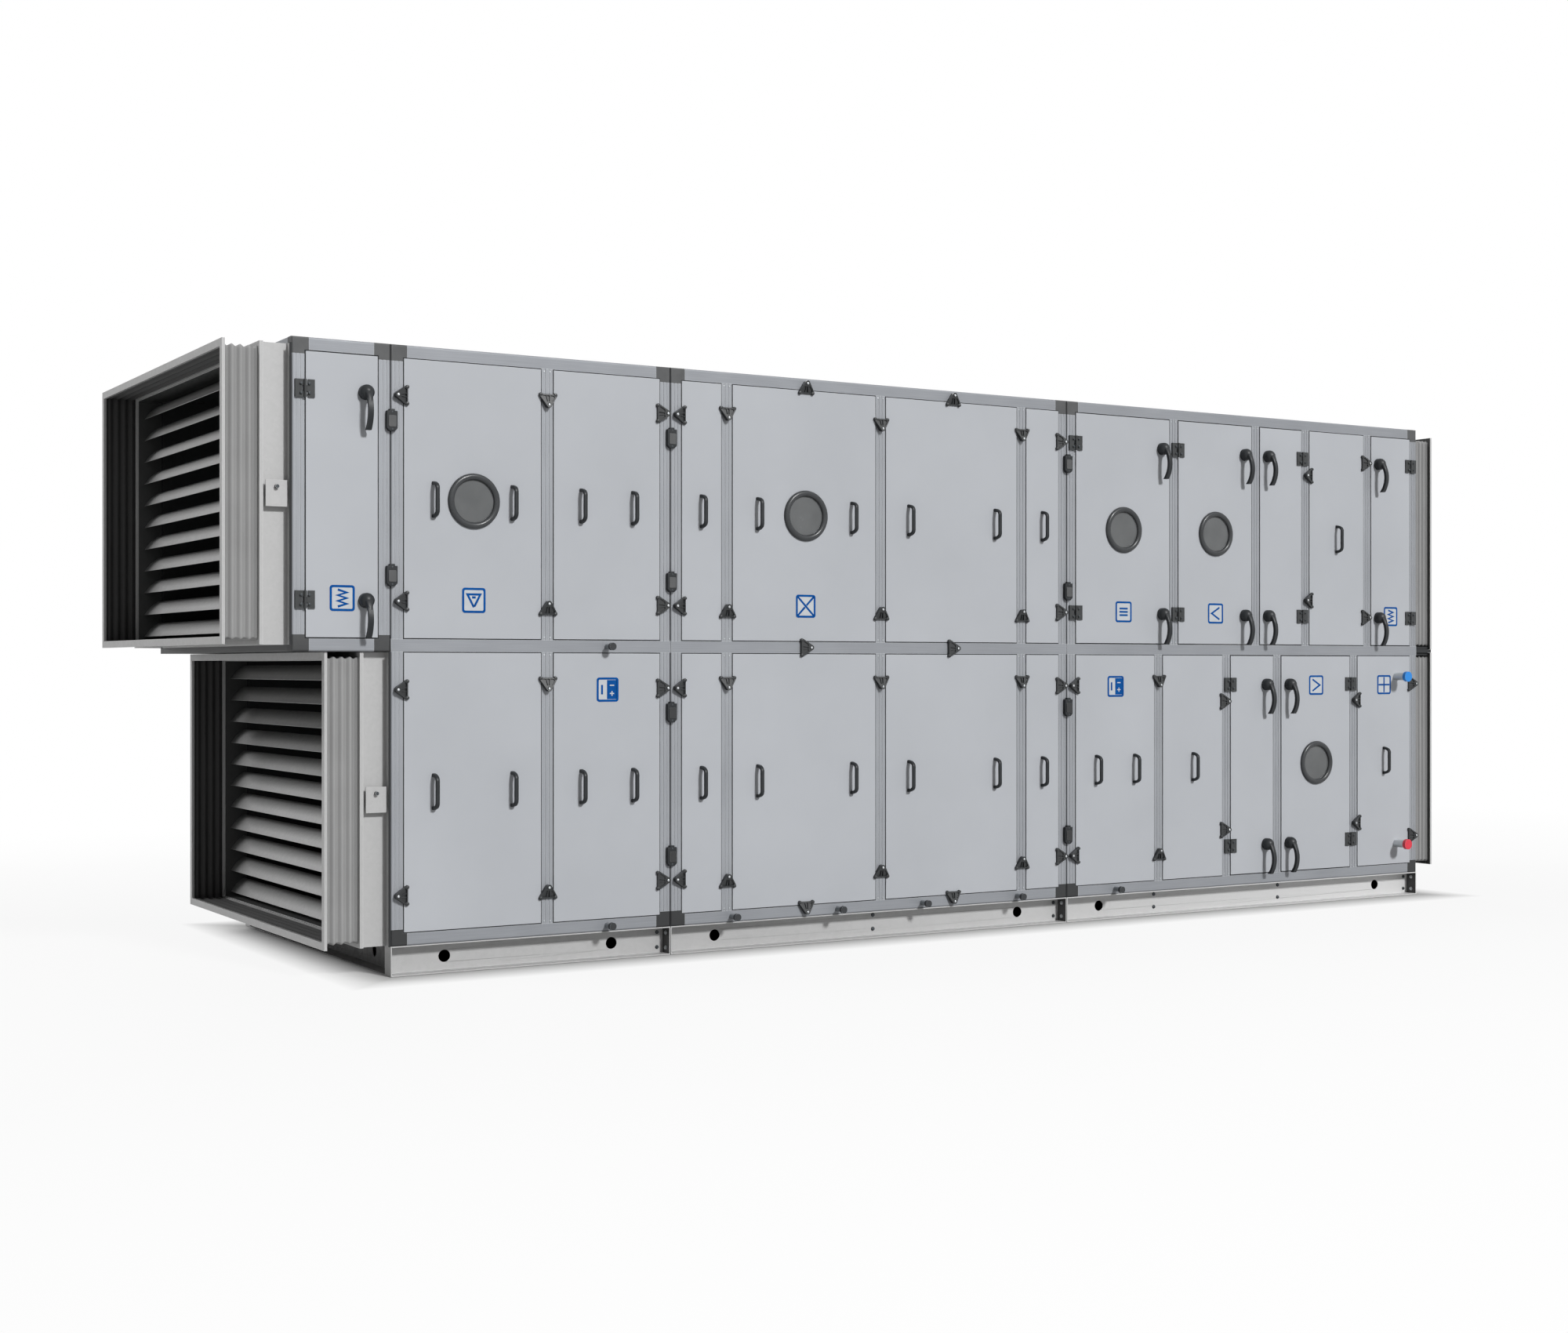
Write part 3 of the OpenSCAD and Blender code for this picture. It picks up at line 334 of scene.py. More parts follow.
def galvanised_steel(name, pale, deep, spangle_mm, far_pale=None, shade_left_faces_from=None,
                     shaded_blades=False, mouths=()):
    material, tree, shader, place = start_material(name)
    cells = add(tree, "ShaderNodeTexVoronoi", {"Vector": place, "Scale": per_metre(spangle_mm)})
    facet = add(tree, "ShaderNodeSeparateColor", {0: cells.outputs["Color"]})
    cloud = add(tree, "ShaderNodeTexNoise",
                {"Vector": place, "Scale": per_metre(220), "Detail": 5.0}).outputs["Fac"]
    blend = add(tree, "ShaderNodeMix", {0: 0.55, 2: facet.outputs[0], 3: cloud},
                data_type="FLOAT")
    tone = add(tree, "ShaderNodeValToRGB", {"Fac": blend.outputs[0]},
               stops=[(0.2, deep), (0.8, pale)])
    layers = []
    # the base is made paler towards its right end
    if far_pale:
        along = add(tree, "ShaderNodeSeparateXYZ", {0: place}).outputs[0]
        newer = add(tree, "ShaderNodeMapRange", {
            "Value": along, "From Min": base_left + (base_right - base_left) / 3,
            "From Max": base_right})
        layers.append((newer.outputs[0], linear(far_pale)))
    # painted highlight: a bright line along the edges
    layers.append((edge_of(tree, 2.0), linear("#D2D3D3")))
    # painted shade on faces that look left
    if shade_left_faces_from is not None:
        layers.append((left_faces_shade_mask(tree, place, shade_left_faces_from), LEFT_FACE_SHADE))
    # painted shade on the blades
    if shaded_blades:
        layers.append((blade_shade_mask(tree), BLADE_SHADE))
    # painted shade inside each duct mouth
    for low, high in mouths:
        mouth = within(tree, place, front_y + FLANGE_DEPTH, rear_y - FLANGE_DEPTH,
                       low + FLANGE_WEB, high - FLANGE_WEB)
        layers.append((mouth, MOUTH_SHADE))
    dressed(tree, shader, layered(tree, tone.outputs[0], *layers),
            (facet.outputs[1], 0.42, 0.56), (cloud, 0.06, 1.0), {"Metallic": 0.12})
    return material


# %% Zinc of the base, the sheets and the blades
BLADES, MOUTH_EDGE, JOINT_PLATE = 11, 33 * MM, 50 * MM
joint_at = {j["name"]: Vector(j["pos_m"]) for j in frame["joints"]}
mouths = []
for deck in ("lower", "upper"):
    first = joint_at[deck + "_blade_1_turn"].z
    last = joint_at["%s_blade_%d_turn" % (deck, BLADES)].z
    reach = (last - first) / (2 * (BLADES - 1)) + MOUTH_EDGE
    mouths.append((first - reach, last + reach))
base_zinc = galvanised_steel("galvanised_base", "#B5B5B5", "#B0B0B0", 18, far_pale="#D2D2D2",
                             shade_left_faces_from=base_left + JOINT_PLATE)
sheet_zinc = galvanised_steel("galvanised_sheet", "#B6B6B6", "#B1B1B1", 12, mouths=mouths,
                              shade_left_faces_from=base_right)
blade_zinc = galvanised_steel("galvanised_blade", "#C2C2C2", "#BABABA", 12, shaded_blades=True)
print("made", base_zinc.name, sheet_zinc.name, blade_zinc.name)

# %% [markdown]
# **Moulded polyamide.** Hinges, levers, handles and clamps are glass-filled nylon from a
# spark-eroded mould: blue-black, half matt, with a fine even grain of about 0.4 mm, drawn
# at 2.5 mm. Corner pieces are the same plastic in grey, darker on the lower deck. Corners
# that hands touch are paler, and the clamps have a little more gloss.

# %% Moulded polyamide
LOWER_DECK, UPPER_DECK = 1.2, 1.5


def moulded_polyamide(name, deep, pale, rubbed, roughness, lower=None, gloss=0.3):
    material, tree, shader, place = start_material(name)
    _, tone = mottled(tree, place, 60, deep, pale)
    if lower:
        height = add(tree, "ShaderNodeSeparateXYZ", {0: place}).outputs[2]
        deck = add(tree, "ShaderNodeMapRange", {
            "Value": height, "From Min": LOWER_DECK, "From Max": UPPER_DECK})
        tone = layered(tree, linear(lower), (deck.outputs[0], tone))
    grain = add(tree, "ShaderNodeTexNoise",
                {"Vector": place, "Scale": per_metre(2.5), "Detail": 2.0}).outputs["Fac"]
    dressed(tree, shader, layered(tree, tone, (edge_of(tree, 2.5, 0.3), linear(rubbed))),
            (grain, roughness - 0.08, roughness + 0.10), (grain, 0.15, 0.4),
            {"IOR": 1.53, "Specular IOR Level": gloss})
    return material


fitting_nylon = moulded_polyamide(
    "moulded_polyamide_black", "#1B1E21", "#232629", "#3C4043", 0.42)
clamp_nylon = moulded_polyamide(
    "moulded_polyamide_clamp", "#17191B", "#1F2224", "#3A3E41", 0.4, gloss=0.5)
hinge_nylon = moulded_polyamide(
    "moulded_polyamide_hinge", "#323435", "#3C3E3F", "#5A5D60", 0.5)
corner_nylon = moulded_polyamide(
    "moulded_polyamide_grey", "#4F5051", "#595A5B", "#6E6F70", 0.55, lower="#303132")
print("made", fitting_nylon.name, clamp_nylon.name, hinge_nylon.name, corner_nylon.name)

# %% [markdown]
# **Window.** The ring is a smooth dark moulding, and the pane is smoked acrylic over a
# dark inside, so it reads as deep grey with a soft gloss. A see-through pane would show
# an empty casing, so the pane is dense.

# %% Smoked acrylic and ring
ring_abs = moulded_polyamide("moulded_abs_ring", "#36383A", "#404244", "#747779", 0.28)
smoked_acrylic, tree, shader, place = start_material("smoked_acrylic")
haze, tint = mottled(tree, place, 120, "#595B5C", "#646667", 3.0)
dressed(tree, shader, tint, (haze, 0.18, 0.32), (haze, 0.03, 1.0), {"IOR": 1.49})
print("made", ring_abs.name, smoked_acrylic.name)

# %% [markdown]
# ** Coated canvas.** The sleeves are polyester canvas coated with grey PVC. The threads are about 1 mm apart and are drawn 5 mm apart. Two wave textures cross, one along the unit and one round the sleeve; the coat gives a dull sheen, and the folds get painted shade from an ambient occlusion node. The inner side is given a dark colour as painted shade.

# %% Coated canvas
FOLD_REACH = 30 * MM
THREAD_WAVE = 2 * math.pi / 20 * per_metre(5)


def pvc_coated_canvas(name, deep, pale, thread, fold):
    material, tree, shader, place = start_material(name)
    axes = add(tree, "ShaderNodeSeparateXYZ", {0: place})
    round_sleeve = add(tree, "ShaderNodeMath", {0: axes.outputs[1], 1: axes.outputs[2]},
                       operation="ADD")
    threads = []
    for distance in (axes.outputs[0], round_sleeve.outputs[0]):
        line = add(tree, "ShaderNodeCombineXYZ", {0: distance})
        threads.append(add(tree, "ShaderNodeTexWave", {
            "Vector": line.outputs[0], "Scale": THREAD_WAVE, "Distortion": 0.4}).outputs["Fac"])
    weave = add(tree, "ShaderNodeMath", {0: threads[0], 1: threads[1]},
                operation="MULTIPLY").outputs[0]
    dust, tone = mottled(tree, place, 180, deep, pale, 5.0)
    # painted shade in the folds: ambient occlusion darkens the colour there
    fold_occlusion = add(tree, "ShaderNodeAmbientOcclusion", {"Distance": FOLD_REACH}, samples=4)
    threaded = layered(tree, tone, (weave, linear(thread)))
    colour = layered(tree, linear(fold), (fold_occlusion.outputs["AO"], threaded))
    dressed(tree, shader, colour, (dust, 0.62, 0.8), (weave, 0.25, 0.6),
            {"Specular IOR Level": 0.25, "Sheen Weight": 0.05})
    return material


coated_canvas = pvc_coated_canvas(
    "pvc_coated_canvas", "#949494", "#9E9E9E", "#A6A6A6", "#4E4E4E")
# painted shade: the inner side of the sleeves is coloured dark
canvas_inside = pvc_coated_canvas(
    "pvc_coated_canvas_inside_shade", "#383838", "#424242", "#4C4C4C", "#222222")
print("made", coated_canvas.name, canvas_inside.name)

# %% [markdown]
# **Pipe ends.** A steel pipe carries a pushed-on polyethylene cap, blue on the upper pipe
# and red on the lower one. A drain is a grey PVC tube with a black cap. Pipe and cap are
# one solid in the CAD, so the material changes where the cap starts.

# %% Capped pipes
PAST_CAP = 0.5 * MM


def capped_pipe(name, node, cap_mm, pipe_colour, upper_cap, lower_cap, metal):
    material, tree, shader, place = start_material(name)
    low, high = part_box(node)
    axes = add(tree, "ShaderNodeSeparateXYZ", {0: place})
    is_cap = add(tree, "ShaderNodeMath", {
        0: axes.outputs[1], 1: low.y + cap_mm * MM + PAST_CAP}, operation="LESS_THAN").outputs[0]
    is_upper = add(tree, "ShaderNodeMath", {
        0: axes.outputs[2], 1: (low.z + high.z) / 2}, operation="GREATER_THAN").outputs[0]
    speck = add(tree, "ShaderNodeTexNoise",
                {"Vector": place, "Scale": per_metre(14), "Detail": 4.0}).outputs["Fac"]
    cap = layered(tree, linear(lower_cap), (is_upper, linear(upper_cap)),
                  (edge_of(tree, 2.0, 0.4), linear("#9FA6AD")))
    value = add(tree, "ShaderNodeMapRange", {"Value": speck, "To Min": 0.92, "To Max": 1.08})
    shade = add(tree, "ShaderNodeHueSaturation", {
        "Color": layered(tree, linear(pipe_colour), (is_cap, cap)), "Value": value.outputs[0]})
    pipe_metal = add(tree, "ShaderNodeMath", {0: metal, 1: is_cap}, operation="SUBTRACT",
                     use_clamp=True)
    tree.links.new(pipe_metal.outputs[0], shader.inputs["Metallic"])
    dressed(tree, shader, shade.outputs[0], (speck, 0.28, 0.48), (speck, 0.08, 0.5))
    return material


coil_pipe = capped_pipe("steel_pipe_with_polyethylene_cap", "coil_pipes", 18,
                        "#C6C9CB", "#1F86DA", "#DC3044", 0.75)
drain_pipe = capped_pipe("pvc_drain_with_cap", "drain_stubs", 16,
                         "#7D8286", "#24272A", "#24272A", 0.0)
print("made", coil_pipe.name, drain_pipe.name)

# %% [markdown]
# **Small things.** Seals are black EPDM rubber. Screws of the frame and of the clamps are
# zinc-plated steel, those of hinges and connectors are blackened. The signs are pale
# printed film with blue ink.

# %% Rubber, screws and printed film


def speckled(name, deep, pale, grain_mm, roughness, metallic=0.0, gloss=0.5):
    material, tree, shader, place = start_material(name)
    grain, tone = mottled(tree, place, grain_mm, deep, pale)
    dressed(tree, shader, tone, (grain, roughness - 0.07, roughness + 0.07), (grain, 0.1, 0.3),
            {"Metallic": metallic, "Specular IOR Level": gloss})
    return material


epdm_rubber = speckled("epdm_rubber", "#1A1C1E", "#222426", 8, 0.8)
zinc_screw = speckled("zinc_plated_screw", "#B4B7BA", "#C6C9CB", 5, 0.35, 0.9)
black_screw = speckled("black_oxide_screw", "#3A3E41", "#484C50", 4, 0.4, 0.5)
sign_film = speckled("printed_film_pale", "#BCC0C4", "#C3C7CB", 30, 0.4)
sign_ink = speckled("printed_ink_blue", "#00488F", "#06529A", 30, 0.4, gloss=0.1)
print("made", epdm_rubber.name, zinc_screw.name, black_screw.name, sign_film.name, sign_ink.name)

# %% [markdown]
# Each CAD node gets its finish in its own material slot. Its mesh stays as it is; a Weld
# and a Bevel modifier round the hard edges as folding and moulding do, and a weighted
# normal keeps the flats flat. Nodes that a piece below replaces stay sharp.

# %% Finishes and rounded edges for the CAD nodes
moving_levers = ["left_lever_top", "left_lever_bottom", "right_lever_top", "right_lever_bottom"]
finishes = [
    (base_zinc, 1.2, ["base_rails", "base_cross_members"]),
    (upright_metal, 0.5, ["uprights"]), (rail_metal, 1.2, ["long_rails"]),
    (cross_metal, 1.2, ["cross_rails"]), (corner_nylon, 2.0, ["corner_caps"]),
    (panel_coat, 1.5, ["roof_panels", "floor_panels", "rear_panels", "front_panels",
                       "upper_doors"]),
    (door_coat, 1.5, ["lower_left_door", "lower_right_door"]),
    (ring_abs, 1.5, ["window_rings", "door_window_ring"]),
    (smoked_acrylic, 0.8, ["window_panes", "door_window_pane"]),
    (hinge_nylon, 1.2, ["fixed_hinges", "left_door_hinges", "right_door_hinges"]),
    (fitting_nylon, 3.5, ["upper_levers"] + moving_levers),
    (fitting_nylon, 2.5, ["section_connectors"]),
    (drain_pipe, 1.2, ["drain_stubs"]), (coil_pipe, 2.0, ["coil_pipes"]),
    (sheet_zinc, 0.8, ["flange_uprights", "flange_bars", "damper_uprights", "damper_bars"]),
    (blade_zinc, 0.6, [name for name in nodes if "_blade_" in name]),
    (fitting_nylon, 0, ["clamps", "handle_grips", "handle_feet"]),
    (coated_canvas, 0, ["canvas_sides", "canvas_tops"]),
]
WELD, SHARP_DEG = 0.01 * MM, 40
for material, radius, names in finishes:
    for node in (nodes[name] for name in names):
        if node.material_slots:
            node.material_slots[0].material = material
        else:
            node.data.materials.append(material)
        if radius:
            node.modifiers.new("weld", "WELD").merge_threshold = WELD
            bevel = node.modifiers.new("rounded", "BEVEL")
            bevel.width = radius * MM
            bevel.segments = 2
            bevel.limit_method = "ANGLE"
            bevel.angle_limit = math.radians(SHARP_DEG)
            bevel.use_clamp_overlap = True
            node.modifiers.new("flats", "WEIGHTED_NORMAL").keep_sharp = False
print("finished", sum(len(names) for _, _, names in finishes), "of", len(nodes), "nodes")

# %% [markdown]
# Screws, seals and signs sit on solids of the CAD. To find those, a node's mesh is welded
# in a copy and parted into its separate solids; each gives its corner points.

# %% Solids of a node


def part_low(part):
    return Vector([min(p[i] for p in part) for i in range(3)])


def part_high(part):
    return Vector([max(p[i] for p in part) for i in range(3)])


def solids(node):
    bm = bmesh.new()
    bm.from_mesh(nodes[node].data)
    bmesh.ops.remove_doubles(bm, verts=bm.verts, dist=WELD)
    left, found = set(bm.verts), []
    while left:
        todo, part = [left.pop()], []
        while todo:
            vert = todo.pop()
            part.append(vert.co.copy())
            for edge in vert.link_edges:
                other = edge.other_vert(vert)
                if other in left:
                    left.remove(other)
                    todo.append(other)
        found.append(part)
    bm.free()
    found.sort(key=lambda part: tuple(round(c, 4) for c in part_low(part)))
    return found


def boxes(node):
    return [(part_low(part), part_high(part)) for part in solids(node)]


print("front panels:", len(boxes("front_panels")), "clamps:", len(boxes("clamps")))

# %% [markdown]
# A few ways of making a mesh cover the small things. All of them join loops of points: a turned
# form for screws and bolts, a flat outline given a thickness for signs and lids, a rectangular
# ring for seals, and a bar for strips and for the dark blocks that are painted shade. BMesh is
# used because each loop is then known by name, and no face is left inside.

# %% Mesh makers


def skin(bm, first, second):
    """Closes the band between two loops of as many points."""
    ahead, far = first[1:] + first[:1], second[1:] + second[:1]
    return [bm.faces.new(corners) for corners in zip(first, ahead, far, second)]


def turned(bm, foot, axis, profile, sides=16):
    """Turns (radius, height) points about an axis that starts at foot."""
    out = Vector(axis).normalized()
    across = out.orthogonal().normalized()
    up = out.cross(across)
    angles = [2 * math.pi * i / sides for i in range(sides)]
    rings = []
    for radius, height in profile:
        middle = foot + out * height
        rings.append([
            bm.verts.new(middle + radius * (across * math.cos(a) + up * math.sin(a)))
            for a in (angles if radius else angles[:1])
        ])
    for below, above in zip(rings, rings[1:]):
        for i in range(sides):
            j = (i + 1) % sides
            corners = [below[i % len(below)], below[j % len(below)],
                       above[j % len(above)], above[i % len(above)]]
            bm.faces.new([c for k, c in enumerate(corners) if c not in corners[:k]])


def plate(bm, centre, outline, thickness, material_index=0, rim=0.0):
    """A flat outline of (x, z) points in millimetres, thickness towards -Y, rim sloped."""
    middle = Vector([sum(p[i] for p in outline) / len(outline) for i in (0, 1)])
    layers = []
    for depth, inset in ((0.0, 0.0), (thickness - rim, 0.0), (thickness, rim)):
        layer = []
        for x, z in outline:
            pull = middle - Vector((x, z))
            pull = pull.normalized() * min(inset, pull.length)
            layer.append(bm.verts.new(
                centre + Vector((x + pull.x, -depth, z + pull.y)) * MM))
        layers.append(layer)
    faces = [bm.faces.new(layers[0]), bm.faces.new(layers[-1][::-1])]
    for lower, upper in zip(layers, layers[1:]):
        faces += skin(bm, upper, lower)
    for face in faces:
        face.material_index = material_index


def seal_ring(bm, low, high, width, y_back, y_front):
    """A rectangular ring of the given width inside low..high, between two depths."""
    loops = []
    for y in (y_back, y_front):
        for inset in (0.0, width):
            left, right = low.x + inset, high.x - inset
            bottom, top = low.z + inset, high.z - inset
            loops.append([bm.verts.new((x, y, z)) for x, z in (
                (left, bottom), (right, bottom), (right, top), (left, top))])
    back_out, back_in, front_out, front_in = loops
    for first, second in ((back_in, back_out), (front_out, front_in),
                          (back_out, front_out), (front_in, back_in)):
        skin(bm, first, second)


def bar(bm, outline, y_from, y_to):
    """A bar along Y with the given (x, z) outline, in metres."""
    near, far = ([bm.verts.new((x, y, z)) for x, z in outline] for y in (y_from, y_to))
    bm.faces.new(near)
    bm.faces.new(far[::-1])
    skin(bm, far, near)


def block(bm, low, high):
    bar(bm, [(low.x, low.z), (high.x, low.z), (high.x, high.z), (low.x, high.z)], low.y, high.y)


# %% [markdown]
# A finished mesh becomes a piece: its normals are turned outwards, curved faces are shaded
# smooth between sharp edges, and it rides on the body that it is fixed to.

# %% From mesh to piece


def piece(name, bm, body, materials, smooth_deg=35):
    bmesh.ops.recalc_face_normals(bm, faces=bm.faces)
    mesh = bpy.data.meshes.new(name)
    bm.to_mesh(mesh)
    bm.free()
    for material in materials:
        mesh.materials.append(material)
    mesh.shade_smooth()
    mesh.set_sharp_from_angle(angle=math.radians(smooth_deg))
    made = bpy.data.objects.new(name, mesh)
    bpy.context.scene.collection.objects.link(made)
    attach(made, body)
    print(name, len(mesh.polygons), "faces on", body)
    return made


# %% [markdown]
# A screw is turned from a profile: a flat flank, a rounded shoulder and a socket in the
# top. Heights and radii follow the thread size; the foot sinks a little into what it holds.
# Mullions, the posts that reach from rail to rail, have two screws at each end.

# %% Screws of the frame
FRONT, REAR = (0, -1, 0), (0, 1, 0)
SUNK = 0.5 * MM
MULLION_MIN = 1110 * MM
FROM_END, FROM_MIDDLE = 11 * MM, 13 * MM


def screw_profile(radius, height):
    r, h = radius * MM, height * MM
    return [(0, -SUNK), (r, -SUNK), (r, h * 0.55), (r * 0.86, h * 0.9), (r * 0.66, h),
            (r * 0.48, h), (r * 0.42, h * 0.35), (0, h * 0.35)]


mullion_screw = screw_profile(3.4, 1.6)
middle_y = (cad_box[0].y + cad_box[1].y) / 2
bm = bmesh.new()
for low, high in boxes("uprights"):
    if high.z - low.z <= MULLION_MIN:
        continue
    in_front = (low.y + high.y) / 2 < middle_y
    for z in (low.z + FROM_END, high.z - FROM_END):
        for side in (-FROM_MIDDLE, FROM_MIDDLE):
            foot = Vector(((low.x + high.x) / 2 + side, low.y if in_front else high.y, z))
            turned(bm, foot, FRONT if in_front else REAR, mullion_screw, 12)
piece("mullion_screws", bm, "casing", [zinc_screw])

# %% [markdown]
# A clamp is a wedge: low at the straight edge between its two feet and high at its tip, where a
# screw draws it to the frame. Its sloping face is cored out to three pockets with ribs
# between. It is drawn flat first, in millimetres: u runs from the tip to the straight edge
# and v across. A boolean could cut the pockets, but the sloping face is filled between the
# loops of its rim and of the pockets, so that the wedge is one closed shell.

# %% Shape of a clamp
CLAMP_BACK, CLAMP_LOW, CLAMP_RISE = 12, 9, 0.25
TIP_U, TIP_R = -19, 12
FOOT_U, FOOT_V, FOOT_R = 23, 33, 8
EDGE_U = 26
CHAMFER = 1.2
SIDE_POCKET = [(-6, 5.2), (20.5, 9), (20.5, 24), (14, 29.5), (-6, 15.5)]
MID_POCKET = [(-6, 2.6), (-6, -2.6), (20.5, -6.4), (20.5, 6.4)]
SIDE_DEEP, MID_DEEP = 5, 6.5


def clamp_outline(inset):
    """Tip, foot and straight edge of one half, then the other half mirrored."""
    span = Vector((FOOT_U - TIP_U, FOOT_V))
    tangent = math.atan2(span.y, span.x) + math.acos((TIP_R - FOOT_R) / span.length)
    edge = -math.acos((EDGE_U - FOOT_U) / FOOT_R)
    half = []
    for u, v, r, first, last, steps in ((TIP_U, 0, TIP_R - inset, math.pi, tangent, 5),
                                        (FOOT_U, FOOT_V, FOOT_R - inset, tangent, edge, 10)):
        for k in range(steps + 1):
            angle = first + (last - first) * k / steps
            half.append((u + r * math.cos(angle), v + r * math.sin(angle)))
    half[-1] = (EDGE_U - inset, half[-1][1])
    return half + [(u, -v) for u, v in half[:0:-1]]


def clamp_rise(u):
    return CLAMP_LOW + CLAMP_RISE * (EDGE_U - u)


def clamp_shell(bm, place_of):
    def loop(points, height):
        return [bm.verts.new(place_of(u, v, height(u))) for u, v in points]

    foot = loop(clamp_outline(0), lambda u: 0)
    shoulder = loop(clamp_outline(0), lambda u: clamp_rise(u) - CHAMFER)
    rim = loop(clamp_outline(CHAMFER), clamp_rise)
    bm.faces.new(foot)
    skin(bm, foot, shoulder)
    skin(bm, shoulder, rim)
    borders = [rim]
    for pocket, deep in ((SIDE_POCKET, SIDE_DEEP), ([(u, -v) for u, v in SIDE_POCKET], SIDE_DEEP),
                         (MID_POCKET, MID_DEEP)):
        mouth = loop(pocket, clamp_rise)
        bottom = loop(pocket, lambda u: clamp_rise(u) - deep)
        skin(bm, mouth, bottom)
        bm.faces.new(bottom)
        borders.append(mouth)
    edges = [bm.edges.get(pair) for loop in borders for pair in zip(loop, loop[1:] + loop[:1])]
    bmesh.ops.triangle_fill(bm, edges=edges, use_beauty=True)


print("clamp outline of", len(clamp_outline(0)), "points, up to",
      clamp_rise(TIP_U - TIP_R), "mm high")

# %% [markdown]
# Each clamp takes the place of a flat CAD clamp. That solid is widest at the straight edge,
# which tells which way the clamp points. The screw has a boss round it, each foot carries a
# small knob, and a boss at the back reaches to the frame; these are closed shells of their own.

# %% Clamps
KNOB = [(0, -1), (7, -1), (7, 1.2), (5.88, 2.6), (3.15, 3.4), (0, 3.6)]
BOSS_TOP = 1.4
TIP_BOSS = [(0, -4), (8, -4), (8, 0.4), (6.88, BOSS_TOP), (0, BOSS_TOP)]
BACK_BOSS_R, BACK_BOSS_IN = 8 * MM, 1 * MM
CLAMP_END = 6 * MM


def in_metres(profile):
    return [(r * MM, h * MM) for r, h in profile]


def clamp_lie(part):
    """The axis that a clamp points along, and 1 if its tip is at the low end, else -1."""
    low, high = part_low(part), part_high(part)
    along = 0 if high.z - low.z > high.x - low.x else 2
    spans = []
    for end in (low[along], high[along]):
        near = [p[2 - along] for p in part if abs(p[along] - end) < CLAMP_END]
        spans.append(max(near) - min(near))
    return along, 1 if spans[0] < spans[1] else -1


def clamp_frame(middle, back_y, along, from_tip):
    """Returns the function that turns a clamp's (u, v, height) in millimetres to a place."""
    def place_of(u, v, height):
        place = Vector((0, back_y - height * MM, 0))
        place[along] = middle[along] + from_tip * u * MM
        place[2 - along] = middle[2 - along] + v * MM
        return place

    return place_of


clamp_screw = screw_profile(5, 1.8)
bm, bm_clamps = bmesh.new(), bmesh.new()
for part in solids("clamps"):
    low, high = part_low(part), part_high(part)
    centre, back_y = (low + high) / 2, low.y + CLAMP_BACK * MM
    place_of = clamp_frame(centre, back_y, *clamp_lie(part))
    clamp_shell(bm_clamps, place_of)
    turned(bm_clamps, place_of(TIP_U, 0, clamp_rise(TIP_U)), FRONT, in_metres(TIP_BOSS))
    turned(bm, place_of(TIP_U, 0, clamp_rise(TIP_U) + BOSS_TOP), FRONT, clamp_screw, 14)
    for v in (-FOOT_V, FOOT_V):
        turned(bm_clamps, place_of(FOOT_U, v, clamp_rise(FOOT_U)), FRONT, in_metres(KNOB))
    under = Vector((centre.x, back_y + BACK_BOSS_IN, centre.z))
    reach = high.y - under.y
    turned(bm_clamps, under, REAR,
           [(0, 0), (BACK_BOSS_R, 0), (BACK_BOSS_R, reach), (0, reach)])
piece("clamp_screws", bm, "casing", [zinc_screw])
made = piece("clamp_mouldings", bm_clamps, "casing", [clamp_nylon])
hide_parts("clamps")

# %% [markdown]
# Two blackened screws hold each hinge. They lie in the hinge's face, so they are set a
# little deeper than its front, and they ride on the door where the hinge does.

# %% Hinge screws
HINGE_SHARES, HINGE_FACE = (0.24, 0.76), 2.2 * MM
hinge_screw = screw_profile(5.2, 1.8)
for node, body in (("fixed_hinges", "casing"), ("left_door_hinges", "left_door"),
                   ("right_door_hinges", "right_door")):
    bm = bmesh.new()
    for low, high in boxes(node):
        for share in HINGE_SHARES:
            foot = Vector(((low.x + high.x) / 2, low.y + HINGE_FACE,
                           low.z + share * (high.z - low.z)))
            turned(bm, foot, FRONT, hinge_screw, 14)
    piece(node + "_screws", bm, body, [black_screw])

# %% [markdown]
# The base is bolted: two hex bolts hold each cross member to the web behind the channel's
# lips, and the plates between two sections are drawn together by bolts as well. A bolt is
# a washer turned with twenty sides and a head turned with six.

# %% Base bolts
WASHER, HEAD_FROM, HEAD_EDGE, HEAD_TOP = 1.2 * MM, 1 * MM, 5.2 * MM, 6.2 * MM
WEB, END_PLATE, LAST_BOLT = 63 * MM, 5 * MM, 32 * MM
MEMBER_BOLTS, END_BOLTS = (34 * MM, 97 * MM), (28 * MM, 92 * MM)
BOLT, SMALL_BOLT, AT_END = 9 * MM, 8 * MM, 3 * MM


def bolt(bm, foot, axis, size):
    turned(bm, foot, axis, [(0, -SUNK), (size * 1.05, -SUNK), (size * 1.05, WASHER),
                            (size * 0.2, WASHER)], 20)
    turned(bm, foot, axis, [(0, HEAD_FROM), (size * 0.9, HEAD_FROM), (size * 0.9, HEAD_EDGE),
                            (size * 0.72, HEAD_TOP), (0, HEAD_TOP)], 6)


